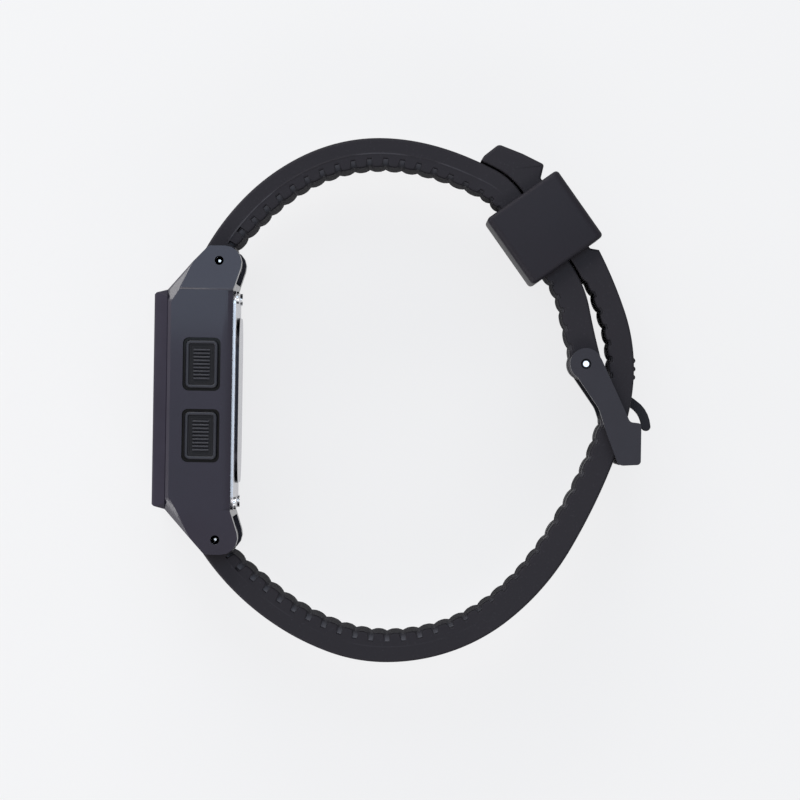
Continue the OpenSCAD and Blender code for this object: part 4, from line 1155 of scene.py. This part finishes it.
def merged(node):
    """A closed copy of a CAD node's mesh, with single faces where the part is flat."""
    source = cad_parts[node].data.copy()
    for title in ("custom_normal", "sharp_edge", "sharp_face"):
        if title in source.attributes:
            source.attributes.remove(source.attributes[title])
    solid = bmesh.new()
    solid.from_mesh(source)
    bmesh.ops.remove_doubles(solid, verts=solid.verts, dist=SAME_PLACE)
    bmesh.ops.dissolve_limit(solid, angle_limit=FLAT_WITHIN, verts=solid.verts,
                             edges=solid.edges)
    solid.normal_update()
    return solid


def ease(solid, round_mm, steps=3, where=None):
    edges = [e for e in solid.edges if e.is_manifold
             and EDGE_LEAST < e.calc_face_angle() < EDGE_MOST and (where is None or where(e))]
    bmesh.ops.bevel(solid, geom=edges, offset=round_mm * MM, offset_type="OFFSET",
                    segments=steps, profile=0.5, affect="EDGES", clamp_overlap=True)
    bmesh.ops.dissolve_degenerate(solid, dist=SLIVER, edges=solid.edges)
    return len(edges)


def dress_eased(node, mesh, look, body, slot):
    dress(node + "_eased", mesh, look, body, [node], slot, EASED_SHARP, True)


for node, look, body, slot, round_mm in (
        ("bezel", case_resin, "watch", "case_resin", 0.2),
        ("buckle_frame", buckle_coating, "buckle", "buckle_coating", 0.25),
        ("tongue", tongue_coating, "tongue_body", "buckle_coating", 0.3)):
    solid = merged(node)
    ease(solid, round_mm)
    dress_eased(node, to_mesh(node + "_eased", solid), look, body, slot)

# %% [markdown]
# The case has two things more. The photograph shows a light line near the 12 o'clock end: the lugs
# there lie a little lower than the side, with a step between them, and the step gets a painted
# highlight.
# And the outline of the lugs is rounder than other edges, most of all on the glass side.
#
# The step is cut in two planes, and the corners beyond it are moved: straight down, or down
# the chamfer for a corner that the side shares with a chamfer, so that the chamfer stays flat.

# %% Lower the lugs at 12 o'clock
LUG_FROM, LUG_TO, LUG_DROP = 16.9, 23.8, 0.8
STEP_FROM, STEP_TO, STEP_DEPTH, SIDE_PLAY = 17.0, 17.3, 0.09, 0.03
FLAT_Z, CHAMFER_Z = 0.98, (0.2, 0.93)  # a side's and a chamfer's share of z in their normals
middle = at(0, 0, 0)


def along(p):
    """How far a point is from the middle of the case, towards 12 or 6 o'clock."""
    return abs(p.y - middle.y) / MM


def on_side(p, lower=0.0):
    """Whether a point is on the case's side, which drops a little along the lugs."""
    side = HALF_CASE - LUG_DROP * max(0.0, along(p) - LUG_FROM) / (LUG_TO - LUG_FROM) - lower
    return abs(abs(p.z - middle.z) / MM - side) < SIDE_PLAY


def once(things):
    return list(dict.fromkeys(things))


solid = merged("case_body")
for y in (STEP_FROM, STEP_TO):
    sides = [f for f in solid.faces
             if abs(f.normal.z) > FLAT_Z and on_side(f.calc_center_median())]
    geometry = sides + once(e for f in sides for e in f.edges) + once(
        v for f in sides for v in f.verts)
    bmesh.ops.bisect_plane(solid, geom=geometry, dist=0.0001 * MM, plane_co=at(0, y, 0),
                           plane_no=(0, 1, 0))
solid.normal_update()
lowered = []
for v in solid.verts:
    if not (on_side(v.co) and v.co.y > at(0, STEP_TO - 0.01).y):
        continue
    shift = Vector((0, 0, -math.copysign(STEP_DEPTH * MM, v.co.z - middle.z)))
    chamfers = [f.normal for f in v.link_faces if CHAMFER_Z[0] < abs(f.normal.z) < CHAMFER_Z[1]]
    sides = [f.normal for f in v.link_faces if abs(f.normal.z) > FLAT_Z]
    if chamfers and sides:
        down = chamfers[0].cross(chamfers[0].cross(sides[0]))
        shift = down * sides[0].dot(shift) / sides[0].dot(down)
    lowered.append((v, shift))
for v, shift in lowered:
    v.co += shift
print("corners of the lugs lowered:", len(lowered))

# %% Round the lugs and the case
GLASS_SIDE, LUG_ROUNDS, LUG_STEPS, CASE_ROUND = 8.2, ((True, 0.7), (False, 0.4)), 4, 0.2
HOLE_CLEAR, OUTLINE_LEAST = 1.5 * MM, math.radians(40)


def lug_outline(edge, glass_side):
    p = (edge.verts[0].co + edge.verts[1].co) / 2
    from_hole = math.hypot(p.x - at(BAR_X, 0).x, (along(p) - BAR_Y) * MM)
    return (all(on_side(v.co, STEP_DEPTH if v.co.y > middle.y else 0)
                and along(v.co) > STEP_TO - 0.05 for v in edge.verts)
            and from_hole > HOLE_CLEAR and edge.calc_face_angle() > OUTLINE_LEAST
            and (p.x < at(GLASS_SIDE, 0).x) == glass_side)


for glass_side, round_mm in LUG_ROUNDS:
    print("lug outline edges:", ease(solid, round_mm, LUG_STEPS,
                                     lambda edge: lug_outline(edge, glass_side)))
ease(solid, CASE_ROUND)
case_mesh = to_mesh("case_body_eased", solid)

# %% [markdown]
# The material reads two marks on the case: the wells round the pushers get painted shade, and the
# step and the fronts of the lugs get a painted highlight. On the case back, the flank of the
# raised centre is marked and gets a painted dark reflection, since it shows as a dark line.

# %% Mark the case and the case back
WELL_X, WELL_Y, WELL_HALF_X, WELL_HALF_Y, WELL_FLOOR, WELL_RIM = 7.4, 5.5, 2.95, 4.15, 16.2, 0.25
STEP_HIGHLIGHT, STEP_MARGIN, STEP_Z = 0.33, 0.1, 0.985
FRONT_HIGHLIGHT, FRONT_X, FRONT_Z, FRONT_LEAST = 0.5, -0.1, (0.15, 0.97), 15.0
FLANK_FROM, FLANK_X = 12.52, 0.97


def set_mark(mesh, title, domain, number):
    """Stores a number for each point or face, which a material can read."""
    things = mesh.vertices if domain == "POINT" else mesh.polygons
    for thing, mark in zip(things, mesh.attributes.new(title, "FLOAT", domain).data):
        mark.value = number(thing)


# Painted shade in the wells round the pushers, where little light gets in.
def well_shade(vertex):
    p = vertex.co
    return float(abs(p.x - at(WELL_X, 0).x) < WELL_HALF_X * MM
                 and abs(along(p) - WELL_Y) < WELL_HALF_Y
                 and WELL_FLOOR * MM < abs(p.z - middle.z) < (HALF_CASE - WELL_RIM) * MM)


# Painted highlight on the step and on the lug fronts, paler than the resin.
def edge_highlight(face):
    p, normal = face.center, face.normal
    step = (at(0, STEP_FROM - STEP_MARGIN).y < p.y < at(0, STEP_TO + STEP_MARGIN).y
            and on_side(p, STEP_DEPTH / 2) and abs(normal.z) < STEP_Z)
    front = (along(p) > STEP_FROM and normal.x < FRONT_X
             and FRONT_Z[0] < abs(normal.z) < FRONT_Z[1]
             and abs(p.z - middle.z) > FRONT_LEAST * MM)
    return STEP_HIGHLIGHT * step + FRONT_HIGHLIGHT * front


# Painted dark reflection on the flank of the raised centre.
def on_flank(face):
    return float(face.center.x > at(FLANK_FROM, 0).x and abs(face.normal.x) < FLANK_X)


set_mark(case_mesh, "sunk_shade", "POINT", well_shade)
set_mark(case_mesh, "edge_highlight", "FACE", edge_highlight)
dress_eased("case_body", case_mesh, case_resin, "watch", "case_resin")

solid = merged("case_back")
ease(solid, CASE_ROUND)
back_mesh = to_mesh("case_back_eased", solid)
set_mark(back_mesh, "flank", "FACE", on_flank)
dress_eased("case_back", back_mesh, back_steel, "watch", "steel")

# %% [markdown]
# ## Pushers
#
# Each pusher has a moulded cap: a rounded rim, a sunken floor with one more shallow step, and
# a block of grip ribs. The cap is a stack of rings of the same rounded rectangle, each one
# smaller or lower than the one before. The stem below it is a stack of circles.

# %% The pushers' solids
PUSHER_X, PUSHER_Y, PUSHER_W, PUSHER_H, PUSHER_R = 7.4, 5.5, 5.0, 7.4, 0.8
CAP_R_LEAST, STEM_EDGE, SUNK_ABOVE, SUNK_SHADE_MARK = 0.15, 0.15, 0.12, 0.75
CAP_LOW, CAP_TOP, CAP_EDGE, RIM, CAP_FLOOR = -1.0, -0.1, 0.24, 0.42, -0.40
STEM_R, STEM_END, CLIP_GROOVE, CLIP_FROM, CLIP_TO = 0.8, -6.45, 0.55, -4.35, -4.7
GRIP_RIBS, GRIP_PITCH, GRIP_R, GRIP_L = 9, 0.55, 0.19, 2.5


def pusher_place(side, row):
    return lambda u, v, w: at(PUSHER_X + u, row * PUSHER_Y + v, side * (HALF_CASE + w))


def cap_profile():
    """Pairs of inset and height, from the underside over the rim to the floor."""
    profile = [(0.15, CAP_LOW), (0, CAP_LOW + 0.15)]
    profile += [(h, CAP_TOP - d) for d, h in quarter(CAP_EDGE, 5)]
    return profile + [(RIM, CAP_TOP), (RIM + 0.07, CAP_TOP - 0.03), (RIM + 0.12, CAP_TOP - 0.1),
                      (RIM + 0.16, CAP_FLOOR + 0.05), (RIM + 0.22, CAP_FLOOR),
                      (0.84, CAP_FLOOR), (0.90, CAP_FLOOR - 0.06)]


def pusher_solids(place):
    cap = [[place(p.x, p.y, w) for p in rounded_box(
        PUSHER_W / 2 - inset, PUSHER_H / 2 - inset, max(CAP_R_LEAST, PUSHER_R - inset), 6)]
        for inset, w in cap_profile()]
    stem = [[place(p.x, p.y, w) for p in disc(Vector((0, 0)), r, 24)] for r, w in (
        (STEM_R - STEM_EDGE, STEM_END), (STEM_R, STEM_END + STEM_EDGE), (STEM_R, CLIP_TO),
        (CLIP_GROOVE, CLIP_TO), (CLIP_GROOVE, CLIP_FROM), (STEM_R, CLIP_FROM),
        (STEM_R, CAP_LOW + 0.2))]
    return [stack(cap), stack(stem)]


# %% [markdown]
# The grip ribs repeat at an even pitch, so they come from Geometry Nodes. The same tree also
# makes the three small ribs that mark the hole in use: it lays a round bar of one length and
# direction over each point that it's given. O-rings and wound springs are round tubes on
# points too, so the trees for all three end in the same nodes.

# %% Tubes and bars on points
def tubes_on_points(tree, given, path, sides, radius):
    section = add(tree, "GeometryNodeCurvePrimitiveCircle", {"Resolution": sides,
                  "Radius": radius})
    tube = add(tree, "GeometryNodeCurveToMesh", {"Curve": path.outputs[0],
               "Profile Curve": section.outputs[0], "Fill Caps": True})
    placed = add(tree, "GeometryNodeInstanceOnPoints", {"Points": given["Geometry"],
                 "Instance": tube.outputs[0]})
    end_tree(tree, placed.outputs[0], given["Material"])
    return tree


def bar_tree():
    tree, given = new_tree("round_bars", {"Radius": 0.2 * MM, "Length": 2.5 * MM,
                                          "Direction": (1, 0, 0)})
    ends = [scaled(tree, given["Direction"], calc(tree, "MULTIPLY", given["Length"], share))
            for share in (-0.5, 0.5)]
    line = add(tree, "GeometryNodeCurvePrimitiveLine", {"Start": ends[0], "End": ends[1]})
    return tubes_on_points(tree, given, line, 16, given["Radius"])


def lay(name, tree, points, look, lengths_mm, **others):
    """Runs a tree on loose points. Its lengths are given in millimetres."""
    mesh = bpy.data.meshes.new(name + "_points")
    mesh.from_pydata(points, [], [])
    lengths = {title: length * MM for title, length in lengths_mm.items()}
    return run_tree(name, mesh, tree, {**lengths, **others, "Material": look})


bars = bar_tree()

# %% Build the four pushers
def build_pusher(name, side, row):
    place = pusher_place(side, row)
    grip = lay(name + "_ribs", bars, [
        place(0, (i - (GRIP_RIBS - 1) / 2) * GRIP_PITCH, CAP_TOP - GRIP_R)
        for i in range(GRIP_RIBS)], pusher_resin, {"Radius": GRIP_R, "Length": GRIP_L},
        Direction=(1, 0, 0))
    whole = bmesh.new()
    whole.from_mesh(join(name + "_cap", pusher_solids(place)))
    whole.from_mesh(grip)
    bmesh.ops.recalc_face_normals(whole, faces=whole.faces)
    mesh = to_mesh(name + "_moulded", whole)
    # Painted shade on the cap's sunken floor, below the rim.
    sunk_z = place(0, 0, CAP_FLOOR + SUNK_ABOVE).z
    set_mark(mesh, "sunk_shade", "POINT",
             lambda vertex: SUNK_SHADE_MARK * float((sunk_z - vertex.co.z) * side > 0))
    dress(name + "_moulded", mesh, pusher_resin, name + "_body", [name], "pusher_resin",
          EASED_SHARP, True)


for name, (side, row) in PUSHERS.items():
    build_pusher(name, side, row)

# %% [markdown]
# ## Seals, springs and small rubber parts
#
# Under each pusher an O-ring keeps water out, and flat gaskets do so under the glass and the
# case back. The O-rings are one more rule: the same ring on four points.

# %% O-rings
def ring_tree():
    tree, given = new_tree("o_rings", {"Radius": 1.0 * MM, "Thickness": 0.5 * MM})
    path = add(tree, "GeometryNodeCurvePrimitiveCircle", {"Resolution": 32,
               "Radius": given["Radius"]})
    return tubes_on_points(tree, given, path, 12, calc(tree, "MULTIPLY", given["Thickness"], 0.5))


SEAL_R, SEAL_T, SEAL_AT = 1.07, 0.5, -3.87
seal_points = [pusher_place(*where)(0, 0, SEAL_AT) for where in PUSHERS.values()]
seals = lay("pusher_o_rings", ring_tree(), seal_points, seal_rubber,
            {"Radius": SEAL_R, "Thickness": SEAL_T})
dress("pusher_o_rings", seals, seal_rubber, "watch", [p + "_seal" for p in PUSHERS],
      "seal_rubber", ROUND_SHARP)

# %% [markdown]
# A short spring under each pusher's cap lifts it again, and a long, fine one in each spring bar
# pushes both tips out. Wound wire is a spiral with a round section, so one node tree makes all
# of them. The bar's spring is made as two halves, because each tip presses its own.

# %% Wound springs
SPRING_PLAY = 0.02
PRESS, SEAT, PRESS_SPRING = 0.8, -3.1, (1.3, 0.25, 3)
TIP_TRAVEL, TIP_INNER, BAR_SPRING = 1.7, 10.4, (0.5, 0.2, 6)


def spring_tree():
    tree, given = new_tree("wound_springs", {"Radius": 1.0 * MM, "Wire": 0.2 * MM,
                                             "Height": 2.0 * MM, "Turns": 3.0})
    path = add(tree, "GeometryNodeCurveSpiral", {"Resolution": 24, "Rotations": given["Turns"],
               "Start Radius": given["Radius"], "End Radius": given["Radius"],
               "Height": given["Height"]})
    return tubes_on_points(tree, given, path, 10, calc(tree, "MULTIPLY", given["Wire"], 0.5))


def wound_spring(name, node, joint, x, y, rest, moving, travel, radius, wire, turns):
    """Spring from its resting end to its moving end, both given as z."""
    low, high = min(rest, moving), max(rest, moving)
    inset = {rest: wire / 2 if rest else 0, moving: SPRING_PLAY + wire / 2}
    first, last = low + inset[low], high - inset[high]
    mesh = lay(name, springs, [at(x, y, first)], spring_wire,
               {"Radius": radius, "Wire": wire, "Height": last - first}, Turns=float(turns))
    piece = dress(name, mesh, spring_wire, "watch", [node], "steel", ROUND_SHARP)
    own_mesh(piece)


springs = spring_tree()
for node, (side, row) in PUSHERS.items():
    wound_spring(node + "_return_spring", node + "_spring", node + "_press", PUSHER_X,
                 row * PUSHER_Y, side * (HALF_CASE + SEAT), side * (HALF_CASE + CAP_LOW), PRESS,
                 *PRESS_SPRING)
for bar, row in BARS.items():
    for name, side in SIDES.items():
        wound_spring(f"{bar}_spring_{name}", bar + "_spring", f"{bar}_tip_{name}_slide", BAR_X,
                     row * BAR_Y, 0, side * TIP_INNER, TIP_TRAVEL, *BAR_SPRING)

# %% [markdown]
# A gasket is a flat sleeve like the keeper, and a connector strip is a stack of rings.

# %% Gaskets and connector strips
GASKET_EDGE, CORNER_LEAST, STRIP_EDGE, STRIP_R = 0.12, 0.15, 0.12, 0.15
STRIP_X, STRIP_Y, STRIP_HALF_X, STRIP_HALF_Y, STRIP_HALF_Z = 6.225, 12, 0.375, 0.6, 10.3


def gasket(name, node, middle_x, half_h, half_w, wall, thick, corner):
    outer = rounded_box(half_h, half_w, corner, 6)
    inner = rounded_box(half_h - wall, half_w - wall, max(CORNER_LEAST, corner - wall), 6)
    mesh = sleeve(name, outer, inner, thick / 2, GASKET_EDGE, GASKET_EDGE,
                  lambda p, h: at(middle_x + h, p.x, p.y))
    dress(name, mesh, seal_rubber, "watch", [node], "seal_rubber", ROUND_SHARP)


def strip(y):
    def ring(inset, z):
        return [at(STRIP_X + p.x, y + p.y, z) for p in rounded_box(
            STRIP_HALF_X - inset, STRIP_HALF_Y - inset, STRIP_R, 3)]
    end = STRIP_HALF_Z - STRIP_EDGE
    return stack([ring(STRIP_EDGE, -STRIP_HALF_Z), ring(0, -end), ring(0, end),
                  ring(STRIP_EDGE, STRIP_HALF_Z)])


gasket("glass_gasket_rubber", "crystal_gasket", 3.0, 13.55, 14.35, 1.2, 0.4, 0.9)
gasket("back_gasket_rubber", "back_gasket", 11.8, 14.75, 14.75, 0.5, 0.6, 1.7)
dress("connector_strips", join("strips", [strip(-STRIP_Y), strip(STRIP_Y)]), connector_rubber,
      "watch", ["display_connectors"], "connector_rubber", 50)

# %% [markdown]
# ## Marks beside the hole in use
#
# Three small ribs cross the strap's outside next to the hole that is used, and the photograph
# shows their ends as light specks. They repeat evenly, so the tree for round bars makes them.

# %% Used-hole ribs
MARK_R, MARK_L, MARK_FROM, MARK_PITCH = 0.45, 8, 3.2, 1.3
mark_points = [at(*long.beside(used_hole + MARK_FROM + i * MARK_PITCH, 0)) for i in range(3)]
marks = lay("used_hole_ribs", bars, mark_points, keeper_rubber,
            {"Radius": MARK_R, "Length": MARK_L}, Direction=(0, 0, 1))
dress("used_hole_ribs", marks, keeper_rubber, "watch")

# %% [markdown]
# ## The time on the display
#
# A display like this draws each digit with seven segments. A dark segment is a thin plate just
# in front of the cell, with pointed ends, so that neighbours nearly touch.

# %% Digits
SEGMENTS = {"0": "abcdef", "1": "bc", "8": "abcdefg"}
DIGIT_W, DIGIT_H, BAR_W, LEAN = 3.4, 8.0, 0.75, 0.06
SEGMENT_GAP, PLATE_FROM, PLATE_TO = 0.12, 4.21, 4.25
FIGURES = (("1", -7.2), ("0", -2.5), ("0", 2.9), ("8", 7.5))
COLON_Z, COLON_Y, DOT, DOT_R = 0.2, 1.6, 0.4, 0.1


def segment(letter):
    """Outline of one segment, round the digit's middle."""
    w, h = DIGIT_W / 2, DIGIT_H / 2
    x, y, upright = {"a": (0, h, 0), "g": (0, 0, 0), "d": (0, -h, 0), "b": (w, h / 2, 1),
                     "c": (w, -h / 2, 1), "e": (-w, -h / 2, 1), "f": (-w, h / 2, 1)}[letter]
    half, r = (h if upright else DIGIT_W) / 2 - SEGMENT_GAP, BAR_W / 2
    shape = [(-half, 0), (-half + r, -r), (half - r, -r), (half, 0), (half - r, r), (-half + r, r)]
    return [Vector((x + (b if upright else a), y + (a if upright else b))) for a, b in shape]


def plate(outline, middle_z, middle_y=0.0):
    shifted = [Vector((p.x + middle_z + LEAN * p.y, p.y + middle_y)) for p in outline]
    return prism(shifted, PLATE_FROM, PLATE_TO, lambda p, x: at(x, p.y, p.x))


shown = [plate(segment(letter), z) for figure, z in FIGURES for letter in SEGMENTS[figure]]
shown += [plate(rounded_box(DOT, DOT, DOT_R, 3), COLON_Z, y) for y in (-COLON_Y, COLON_Y)]
dress("time_segments", join("segments", shown), display_ink, "watch")
